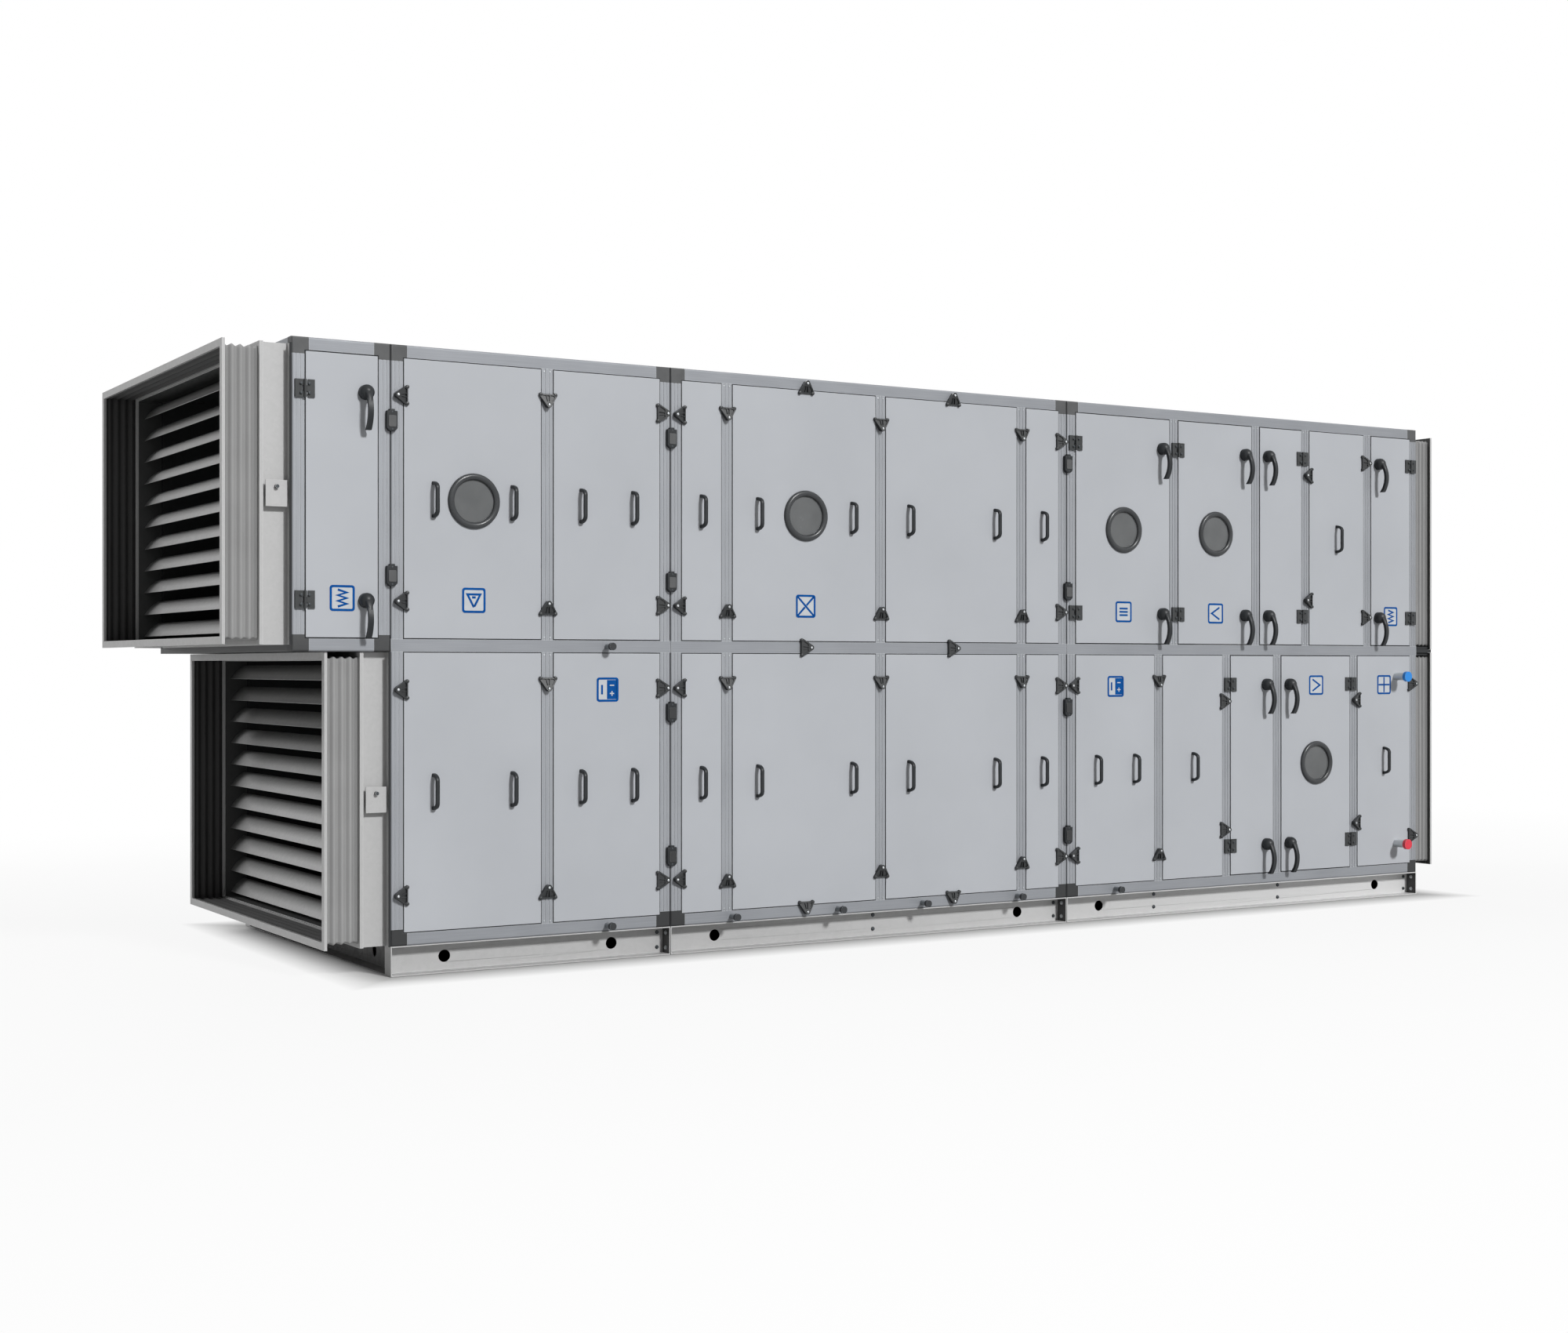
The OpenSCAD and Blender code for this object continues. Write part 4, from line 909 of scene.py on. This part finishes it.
bm, bm_ends = bmesh.new(), bmesh.new()
rails = boxes("base_rails")
ends = [x for low, high in rails for x in (low.x, high.x)]
webs = ((rails[0][0].y + WEB, FRONT), (max(high.y for _, high in rails) - WEB, REAR))
for low, high in boxes("base_cross_members"):
    if min(abs(side - x) for side in (low.x, high.x) for x in ends) < AT_END:
        continue
    for y, axis in webs:
        for z in MEMBER_BOLTS:
            bolt(bm, Vector(((low.x + high.x) / 2, y, z)), axis, BOLT)
for low, high in rails:
    in_front = (low.y + high.y) / 2 < middle_y
    lip_y, web_y, out = (low.y, low.y + WEB, FRONT) if in_front else (high.y, high.y - WEB, REAR)
    for z in END_BOLTS:
        for x, axis in ((low.x + END_PLATE, (1, 0, 0)), (high.x - END_PLATE, (-1, 0, 0))):
            bolt(bm_ends, Vector((x, (web_y + lip_y) / 2, z)), axis, BOLT)
        bolt(bm, Vector((high.x - LAST_BOLT, web_y, z)), out, SMALL_BOLT)
piece("base_bolts", bm, "casing", [black_screw])
piece("base_end_bolts", bm_ends, "casing", [zinc_screw])

# %% [markdown]
# Black rubber shows as a fine dark line round every panel and door, and between two
# sections. Round a fixed panel it fills the reveal to just below the frame's face; behind
# a door that opens it is fixed to the frame and leaves the leaf free. A row gives the
# gap that the seal reaches into, its width, and how deep its back and its face lie.

# %% Panel and door seals
seals = {
    "panel_seals": [("front_panels", 0, 3.9, 6.1, 4), ("rear_panels", 0, 3.9, 6.1, 4)],
    "door_seals": [("upper_doors", 4.8, 4.6, 8.8, 4.2), ("lower_left_door", 4.8, 4.5, 34, 20),
                   ("lower_right_door", 4.8, 4.5, 34, 20)],
}
for name, rows in seals.items():
    bm = bmesh.new()
    for node, gap, width, back, face in rows:
        reach = Vector((gap, 0, gap)) * MM
        for low, high in boxes(node):
            outside, inwards = (high.y, -MM) if node == "rear_panels" else (low.y, MM)
            seal_ring(bm, low - reach, high + reach, width * MM,
                      outside + back * inwards, outside + face * inwards)
    piece(name, bm, "casing", [epdm_rubber])

# %% [markdown]
# Where two sections meet, a rubber strip lies in the joint: up the front, over the roof and
# down the rear. It stays a little below the faces of the posts and of the roof.

# %% Section seals
SECTION_JOINTS = [(0, 1337), (1250, 122), (3400, 122)]
STRIP_HALF, STRIP_FROM, STRIP_TO = 0.9, 1.6, 44
ROOF_FROM, ROOF_TO, CASING_DEPTH = 2460, 2497, 1920
bm = bmesh.new()
for x, foot in SECTION_JOINTS:
    for y_from, y_to, z_from in ((STRIP_FROM, STRIP_TO, foot),
                                 (STRIP_TO, CASING_DEPTH - STRIP_TO, ROOF_FROM),
                                 (CASING_DEPTH - STRIP_TO, CASING_DEPTH - STRIP_FROM, foot)):
        block(bm, at(x - STRIP_HALF, y_from, z_from), at(x + STRIP_HALF, y_to, ROOF_TO))
piece("section_seals", bm, "casing", [epdm_rubber])

# %% [markdown]
# At the right end a black ribbed block fills the space between the canvas of the two decks, as
# painted shade in that gap. It could be a plain block, but its ribs show at the edge, so its
# outline is a row of waves above and below.

# %% Deck gap shade
RIBS, RIB, RIB_STEPS, CLEAR = 7, 3 * MM, 4, 0.5 * MM
NECK_REACH, DECK_BAND = 12 * MM, 30 * MM
right_walls = [b for b in boxes("canvas_sides") if b[0].x > base_right]
deck_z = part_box("lower_right_door")[1].z
gap_shade_low = max(high.z for low, high in right_walls if low.z < deck_z) + CLEAR
gap_shade_high = min(low.z for low, high in right_walls if low.z > deck_z) - CLEAR
wall_left, wall_right = right_walls[0][0].x, right_walls[0][1].x
wall_front, wall_rear = right_walls[0][0].y, max(high.y for _, high in right_walls)
count = RIBS * RIB_STEPS
steps = [wall_left + (wall_right - wall_left) * i / count for i in range(count + 1)]
ribs = [RIB * (0.5 - 0.5 * math.cos(2 * math.pi * i / RIB_STEPS)) for i in range(count + 1)]
outline = [(x, gap_shade_high - r) for x, r in zip(steps, ribs)]
outline += [(x, gap_shade_low + r) for x, r in zip(steps[::-1], ribs[::-1])]
bm = bmesh.new()
bar(bm, outline, wall_front, wall_rear)
right_bars = [b for b in boxes("flange_bars") if b[0].x > base_right - CLEAR]
neck_low = max(high.z for _, high in right_bars if high.z < deck_z + DECK_BAND) + CLEAR
neck_high = min(low.z for low, _ in right_bars if low.z > deck_z) - CLEAR
# painted shade: a second dark block between the right flange bars
block(bm, Vector((min(low.x for low, _ in right_bars), wall_front - NECK_REACH, neck_low)),
      Vector((max(high.x for _, high in right_bars) - CLEAR, wall_rear + NECK_REACH, neck_high)))
piece("deck_gap_shade", bm, "casing", [epdm_rubber])
print("space of", round((gap_shade_high - gap_shade_low) / MM, 1), "mm between the right sleeves")

# %% [markdown]
# A dark strip of rubber at the casing's end, beside each damper, is painted shade: it stands in
# for the dark line of shade there.

# %% Damper shade strips
SHADE_STRIP, SHADE_STRIP_PROUD, SHADE_STRIP_GAP = 9 * MM, 1.2 * MM, 0.1 * MM
bm = bmesh.new()
for low, high in boxes("damper_uprights"):
    for y in (low.y, high.y):
        block(bm, Vector((high.x - SHADE_STRIP, y - SHADE_STRIP_PROUD, low.z)),
              Vector((high.x - SHADE_STRIP_GAP, y + SHADE_STRIP_PROUD, high.z)))
piece("damper_shade_strips", bm, "casing", [epdm_rubber])

# %% [markdown]
# Handles and levers are single mouldings: a bar that bends and tapers without a step. A bow
# handle follows the CAD feet and grip with softened corners, and takes their place. A curve
# object could do the same; swept rings let the bar grow wider towards its feet.

# %% Bow handles
BAR_SQUARE = 0.6
GRIP_HALF, GRIP_THICK, FOOT_FLARE = 8.5 * MM, 6.2 * MM, 0.22
FOOT_UP, BEND_UP, BEND_OUT, STRAIGHT = 0.55, 0.45, 0.45, 0.6


def softened(points, rounds=3):
    for _ in range(rounds):
        cut = [points[0]]
        for a, b in zip(points, points[1:]):
            cut += [a.lerp(b, 0.25), a.lerp(b, 0.75)]
        points = cut + [points[-1]]
    return points


def swept_bar(bm, path, halves, sides=16):
    """Sweeps a rounded box along a path in a plane of constant x; halves are (x, across)."""
    rings = []
    for i, p in enumerate(path):
        way = (path[min(i + 1, len(path) - 1)] - path[max(i - 1, 0)]).normalized()
        across = way.cross(Vector((1, 0, 0)))
        half_x, half_across = halves[i]
        ring = []
        for k in range(sides):
            c, s = math.cos(2 * math.pi * k / sides), math.sin(2 * math.pi * k / sides)
            ring.append(bm.verts.new(
                p + Vector((half_x * math.copysign(abs(c) ** BAR_SQUARE, c), 0, 0))
                + across * half_across * math.copysign(abs(s) ** BAR_SQUARE, s)))
        rings.append(ring)
    bm.faces.new(rings[0])
    bm.faces.new(rings[-1][::-1])
    for below, above in zip(rings, rings[1:]):
        skin(bm, above, below)


bm = bmesh.new()
panel_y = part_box("handle_feet")[1].y
foot_low, foot_high = boxes("handle_feet")[0]
foot_rise = foot_high.z - foot_low.z
for low, high in boxes("handle_grips"):
    x, y, z = (low + high) / 2
    half, out = (high.z - low.z) / 2, panel_y - y
    corners = [(panel_y + SUNK, half + FOOT_UP * foot_rise),
               (y + BEND_OUT * out, half + BEND_UP * foot_rise), (y, half), (y, half * STRAIGHT)]
    corners += [(yy, -zz) for yy, zz in corners[::-1]]
    path = softened([Vector((x, yy, z + zz)) for yy, zz in corners])
    flares = [1 + FOOT_FLARE * max(0, (p.y - y) / out) ** 2 for p in path]
    swept_bar(bm, path, [(GRIP_HALF * flare, GRIP_THICK * flare) for flare in flares])
made = piece("bow_handles", bm, "casing", [fitting_nylon], smooth_deg=70)
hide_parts("handle_grips", "handle_feet")

# %% [markdown]
# On a lever, a neck that narrows from hub to arm joins the two. It follows the arm's bow, an
# arc in side view, and moves with its lever. A row of the neck is a height below the
# hub's middle and half a width each way, in millimetres.

# %% Lever necks
HUB_R, ARM_BOW, ARM_OUT, ARM_HALF_L = 30 * MM, 112.5 * MM, 60.5 * MM, 75 * MM
NECK = [(0, 17, 12), (-10, 15, 11.5), (-20, 13, 10.2), (-30, 11.4, 8.8), (-40, 10.3, 7.9)]
for node, body in [("upper_levers", "casing")] + [(name, name) for name in moving_levers]:
    bm = bmesh.new()
    for low, high in boxes(node):
        x, hub_z = (low.x + high.x) / 2, high.z - HUB_R
        path, halves = [], []
        for z, half_x, half_across in NECK:
            out = math.sqrt(ARM_BOW ** 2 - (z * MM + ARM_HALF_L) ** 2) - ARM_BOW + ARM_OUT
            path.append(Vector((x, high.y - out, hub_z + z * MM)))
            halves.append((half_x * MM, half_across * MM))
        swept_bar(bm, path, halves)
    piece(node + "_neck", bm, body, [fitting_nylon], smooth_deg=70)

# %% [markdown]
# Each section connector has a raised lid and two screws: one in the tab above and one
# below the lid.

# %% Connector lids
LID_W, LID_H, LID_R, LID_THICK, LID_RIM = 32, 46, 5, 3.2, 1.4
LID_DROP, LID_SUNK, TAB_SCREWS = 4 * MM, 0.3 * MM, (31 * MM, -36 * MM)
QUARTERS = ((1, 1, 0), (-1, 1, 90), (-1, -1, 180), (1, -1, 270))


def rounded_box(width, height, radius, steps=5):
    points = []
    for cx, cz, start in QUARTERS:
        for i in range(steps + 1):
            a = math.radians(start + 90 * i / steps)
            points.append((cx * (width / 2 - radius) + radius * math.cos(a),
                           cz * (height / 2 - radius) + radius * math.sin(a)))
    return points


tab_screw = screw_profile(4, 1.6)
bm, bm_screws = bmesh.new(), bmesh.new()
for low, high in boxes("section_connectors"):
    face_centre = Vector(((low.x + high.x) / 2, low.y + LID_SUNK, (low.z + high.z) / 2))
    plate(bm, face_centre - Vector((0, 0, LID_DROP)), rounded_box(LID_W, LID_H, LID_R), LID_THICK,
          rim=LID_RIM)
    for z in TAB_SCREWS:
        turned(bm_screws, face_centre + Vector((0, 0, z)), FRONT, tab_screw, 12)
piece("connector_lids", bm, "casing", [corner_nylon])
piece("connector_screws", bm_screws, "casing", [black_screw])

# %% [markdown]
# The function signs are thin film: a pale tile with rounded corners, a blue line round
# it and a plain geometric mark. A mark is drawn as strokes of even width with mitred
# corners, and lies a fraction of a millimetre proud, as ink and laminate do. Real
# thickness is used rather than a picture, so the signs stay sharp at any distance.

# %% Marks of the signs


def stroke(points, width):
    left, right = [], []
    for i, p in enumerate(points):
        p = Vector(p)
        before = (p - Vector(points[i - 1])).normalized() if i else None
        after = (Vector(points[i + 1]) - p).normalized() if i + 1 < len(points) else None
        ahead = after or before
        way = ((before or after) + ahead).normalized()
        side = Vector((-way.y, way.x))
        reach = width / 2 / max(0.4, side.dot(Vector((-ahead.y, ahead.x))))
        left.append(tuple(p + side * reach))
        right.append(tuple(p - side * reach))
    return right + left[::-1]


ZIGZAG = [[(-18, 33), (18, 22), (-18, 11), (18, 0), (-18, -11), (18, -22), (-18, -33)]]
CROSS = [[(-41, 41), (41, -41)], [(-41, -41), (-4, -4)], [(4, 4), (41, 41)]]
CHEVRON = [[(26, 30), (-26, 0), (26, -30)]]
TURNED_CHEVRON = [[(-x, z) for x, z in CHEVRON[0]]]
TRIANGLE = [[(0, -28), (-28, 24), (28, 24), (2, -25)], [(-8, 12), (8, 12)]]
BARS = [[(-26, 16), (26, 16)], [(-26, 0), (26, 0)], [(-26, -16), (26, -16)]]
GRID = [[(0, 40), (0, -40)], [(-40, 0), (-4, 0)], [(4, 0), (40, 0)]]
FIELD = [(20, -40), (20, 40)]
HALVES = [[(-26, 20), (-26, -20)], FIELD]
ON_FIELD = [[(20, -26), (20, -6)], [(10, -16), (17, -16)], [(23, -16), (30, -16)],
            [(10, 18), (30, 18)]]
print("a chevron has", len(stroke(CHEVRON[0], 9)), "corners")

# %% Function signs
UPPER_ROW, LOWER_ROW, SIGN_Y = 1493, 1130, -2.9
LINE, FIELD_LINE, FIELD_W = 9, 5, 46
FILM, INK, FILM_RIM = 0.8, 0.5, 0.2
INK_OUT, PALE_INK_OUT = Vector((0, -0.7, 0)) * MM, Vector((0, -1.1, 0)) * MM
signs = [(-200, UPPER_ROW, ZIGZAG, "casing"), (350, UPPER_ROW, TRIANGLE, "casing"),
         (1925, UPPER_ROW, CROSS, "casing"), (3750, UPPER_ROW, BARS, "casing"),
         (4350, UPPER_ROW, CHEVRON, "casing"), (5600, UPPER_ROW, ZIGZAG, "casing"),
         (950, LOWER_ROW, HALVES, "casing"), (3700, LOWER_ROW, HALVES, "casing"),
         (5050, LOWER_ROW, TURNED_CHEVRON, "right_door"), (5550, LOWER_ROW, GRID, "casing")]
tile = rounded_box(104, 104, 13)
outer, inner = rounded_box(102, 102, 12), rounded_box(83, 83, 5)
border = list(zip(outer, outer[1:] + outer[:1], inner[1:] + inner[:1], inner))
for number, (x, z, mark, body) in enumerate(signs, 1):
    bm = bmesh.new()
    centre = at(x, SIGN_Y, z)
    plate(bm, centre, tile, FILM, 0, rim=FILM_RIM)
    for corners in border:
        plate(bm, centre + INK_OUT, corners, INK, 1)
    for points in mark:
        plate(bm, centre + INK_OUT, stroke(points, FIELD_W if points is FIELD else LINE), INK, 1)
    for points in ON_FIELD if mark is HALVES else []:
        plate(bm, centre + PALE_INK_OUT, stroke(points, FIELD_LINE), INK, 0)
    piece("sign_%d" % number, bm, body, [sign_film, sign_ink], smooth_deg=20)

# %% [markdown]
# The canvas sleeve joins two flange frames and lets them move a little. It is one strip
# of cloth sewn to a loop, laid in soft pleats: a wave along the unit, swept round a
# rectangle with small corners, with slight slack between the flanges. It takes the place
# of the straight-folded CAD solids, whose boxes give its size.

# %% Shape of a sleeve
PLEATS, FOLD, CLOTH, SLACK = 4, 10 * MM, 3 * MM, 2.2 * MM
STEPS, CORNER, CORNER_STEPS, WALL_STEPS = 40, 14 * MM, 5, 26


def sleeve_loop(low, high):
    """Points of a rectangle with round corners, with their outward directions."""
    loop = []
    for cy, cz, start in QUARTERS:
        middle = Vector((0, (high.y if cy > 0 else low.y) - cy * CORNER,
                         (high.z if cz > 0 else low.z) - cz * CORNER))
        for i in range(CORNER_STEPS + 1):
            a = math.radians(start + 90 * i / CORNER_STEPS)
            out = Vector((0, math.cos(a), math.sin(a)))
            loop.append((middle + out * CORNER, out))
    full = []
    for (p, out), (after, _) in zip(loop, loop[1:] + loop[:1]):
        full.append((p, out))
        if (after - p).length > 4 * CORNER:
            full += [(p.lerp(after, k / WALL_STEPS), out) for k in range(1, WALL_STEPS)]
    return full


def fold_depth(t):
    along = (t * PLEATS) % 1.0
    ramp = 1 - abs(2 * along - 1)
    return FOLD * (0.5 * ramp + 0.5 * (0.5 - 0.5 * math.cos(math.pi * ramp)))


def slack_at(x, t, p):
    rumple = noise.noise(Vector((x + t * 0.5, p.y * 4, p.z * 4)))
    return SLACK * math.sin(math.pi * t) * abs(rumple)


print(PLEATS, "pleats, each", round(fold_depth(0.5 / PLEATS) / MM, 1), "mm deep")

# %% Canvas sleeves


def canvas_sleeve(name, low, high):
    bm = bmesh.new()
    loop = sleeve_loop(low, high)
    length = high.x - low.x
    shells = []
    for inner in (0.0, CLOTH):
        rows = []
        for t in (s / STEPS for s in range(STEPS + 1)):
            row = []
            for p, out in loop:
                place = p - out * (fold_depth(t) + inner + slack_at(low.x, t, p))
                row.append(bm.verts.new((low.x + t * length, place.y, place.z)))
            rows.append(row)
        shells.append(rows)
    for side, rows in enumerate(shells):
        for row, after in zip(rows, rows[1:]):
            for face in skin(bm, row, after):
                face.material_index = side
    for end in (0, STEPS):
        skin(bm, shells[0][end], shells[1][end])
    made = piece(name, bm, "casing", [coated_canvas, canvas_inside], smooth_deg=60)
    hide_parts("canvas_sides", "canvas_tops")


sleeves = {}
for low, high in boxes("canvas_sides") + boxes("canvas_tops"):
    key = (round(low.x, 2), (low.z + high.z) / 2 > deck_z)
    a, b = sleeves.setdefault(key, (low, high))
    sleeves[key] = (Vector(map(min, a, low)), Vector(map(max, b, high)))
for (x, is_upper), (low, high) in sorted(sleeves.items()):
    canvas_sleeve("canvas_%s_%s" % ("upper" if is_upper else "lower",
                                    "left" if x < 0 else "right"), low, high)

# %% [markdown]
# Each damper has a dark steel shaft end in the plate on its service side, where an
# actuator would be fixed. A sleeve covers the plain CAD pin.

# %% Shaft ends
SHAFT_RISE, SHAFT_R, SHAFT_OUT, SHAFT_IN = 25.5 * MM, 8.4 * MM, 14.4 * MM, 14 * MM
plate_y = boxes("damper_uprights")[0][0].y + SHAFT_IN
bm = bmesh.new()
for deck in ("upper", "lower"):
    pin = joint_at[deck + "_blade_6_turn"]
    turned(bm, Vector((pin.x, plate_y, pin.z + SHAFT_RISE)), FRONT,
           [(0, 0), (SHAFT_R, 0), (SHAFT_R, SHAFT_OUT * 0.9), (SHAFT_R * 0.8, SHAFT_OUT),
            (0, SHAFT_OUT)], 24)
piece("shaft_ends", bm, "casing", [black_screw])

# %% [markdown]
# The stage is a wide pale floor. Seen by the camera or in a reflection, floor and
# surroundings are white, but not under the unit, where the lifting holes look into the
# dark; between the two, the white grows with the distance from the base, so that the unit
# keeps its soft shadow.

# %% Floor
FLOOR_HALF, FLOOR_DROP = 40, 1 * MM
UNDER, NEAR, FAR = -0.02, 0.25, 6.0
NEAR_WHITE, FAR_WHITE = 0.9, 0.1
WHITE = (1, 1, 1, 1)


def seen_directly(tree):
    """1 for what the camera sees, straight or by way of a reflection or a pane."""
    ray = add(tree, "ShaderNodeLightPath")
    seen = ray.outputs["Is Camera Ray"]
    for kind in ("Is Glossy Ray", "Is Transmission Ray"):
        seen = add(tree, "ShaderNodeMath", {0: seen, 1: ray.outputs[kind]},
                   operation="MAXIMUM").outputs[0]
    return seen


mesh = bpy.data.meshes.new("floor")
mesh.from_pydata([(x * FLOOR_HALF, y * FLOOR_HALF, 0)
                  for x, y in ((-1, -1), (1, -1), (1, 1), (-1, 1))], [], [(0, 1, 2, 3)])
floor = bpy.data.objects.new("floor", mesh)
bpy.context.scene.collection.objects.link(floor)
floor.location.z = cad_box[0].z - FLOOR_DROP
floor_paint = bpy.data.materials.new("floor_paint")
floor_paint.use_nodes = True
tree = floor_paint.node_tree
tree.nodes.clear()
axes = add(tree, "ShaderNodeSeparateXYZ", {0: add(tree, "ShaderNodeTexCoord").outputs["Object"]})
rail_low, rail_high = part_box("base_rails")
middle, half = (rail_low + rail_high) / 2, (rail_high - rail_low) / 2
away = -10.0
for i in (0, 1):
    offset = add(tree, "ShaderNodeMath", {0: axes.outputs[i], 1: middle[i]}, operation="SUBTRACT")
    offset = add(tree, "ShaderNodeMath", {0: offset.outputs[0]}, operation="ABSOLUTE")
    offset = add(tree, "ShaderNodeMath", {0: offset.outputs[0], 1: half[i]}, operation="SUBTRACT")
    away = add(tree, "ShaderNodeMath", {0: away, 1: offset.outputs[0]},
               operation="MAXIMUM").outputs[0]
near = add(tree, "ShaderNodeMapRange", {"Value": away, "From Min": UNDER, "From Max": NEAR,
                                        "To Max": NEAR_WHITE})
far = add(tree, "ShaderNodeMapRange", {"Value": away, "From Min": NEAR, "From Max": FAR,
                                       "To Max": FAR_WHITE})
white_part = add(tree, "ShaderNodeMath", {0: near.outputs[0], 1: far.outputs[0]}, operation="ADD")
share = add(tree, "ShaderNodeMath", {0: seen_directly(tree), 1: white_part.outputs[0]},
            operation="MULTIPLY")
paint = add(tree, "ShaderNodeBsdfDiffuse", {"Color": linear("#B8B8B7")})
white = add(tree, "ShaderNodeEmission", {"Color": WHITE, "Strength": 1.0})
both = add(tree, "ShaderNodeMixShader",
           {0: share.outputs[0], 1: paint.outputs[0], 2: white.outputs[0]})
add(tree, "ShaderNodeOutputMaterial", {"Surface": both.outputs[0]})
mesh.materials.append(floor_paint)
print("floor of", 2 * FLOOR_HALF, "m, white from", FAR, "m away")

# %% [markdown]
# The light is even, brightest towards the front right. Three soft suns add to it: the main
# lamp above the camera, as the levers' shadows in the photograph show, a broad lamp from the
# left that reaches the blades through the dampers' mouths, and a broad lamp from the
# rear. Suns are used because they light a long unit evenly from end to end.

# %% Light
BRIGHT_SIDE, DARK_FROM, SKY = (0.75, -0.5, 0.43), -0.2, 0.3
LAMPS = [("main_lamp", 2.65, 8, (-0.2, 1.0, -0.63)), ("left_lamp", 1.2, 18, (1.0, -0.5, -0.9)),
         ("rear_lamp", 0.85, 18, (-0.2, -1.5, -1.3))]
scene = bpy.context.scene
world = bpy.data.worlds.new("studio")
scene.world = world
world.use_nodes = True
tree = world.node_tree
tree.nodes.clear()
facing = add(tree, "ShaderNodeVectorMath", {
    0: add(tree, "ShaderNodeTexCoord").outputs["Generated"], 1: Vector(BRIGHT_SIDE).normalized()},
    operation="DOT_PRODUCT")
level = add(tree, "ShaderNodeMapRange", {
    "Value": facing.outputs["Value"], "From Min": DARK_FROM, "To Max": SKY})
soft = add(tree, "ShaderNodeBackground", {"Color": WHITE, "Strength": level.outputs[0]})
clear = add(tree, "ShaderNodeBackground", {"Color": WHITE, "Strength": 1.0})
both = add(tree, "ShaderNodeMixShader",
           {0: seen_directly(tree), 1: soft.outputs[0], 2: clear.outputs[0]})
add(tree, "ShaderNodeOutputWorld", {"Surface": both.outputs[0]})
for name, energy, spread, way in LAMPS:
    lamp = bpy.data.objects.new(name, bpy.data.lights.new(name, "SUN"))
    scene.collection.objects.link(lamp)
    lamp.data.energy = energy
    lamp.data.angle = math.radians(spread)
    lamp.rotation_mode = "QUATERNION"
    lamp.rotation_quaternion = Vector(way).to_track_quat("-Z", "Y")
    print(name, energy)
scene.view_settings.view_transform = "Standard"
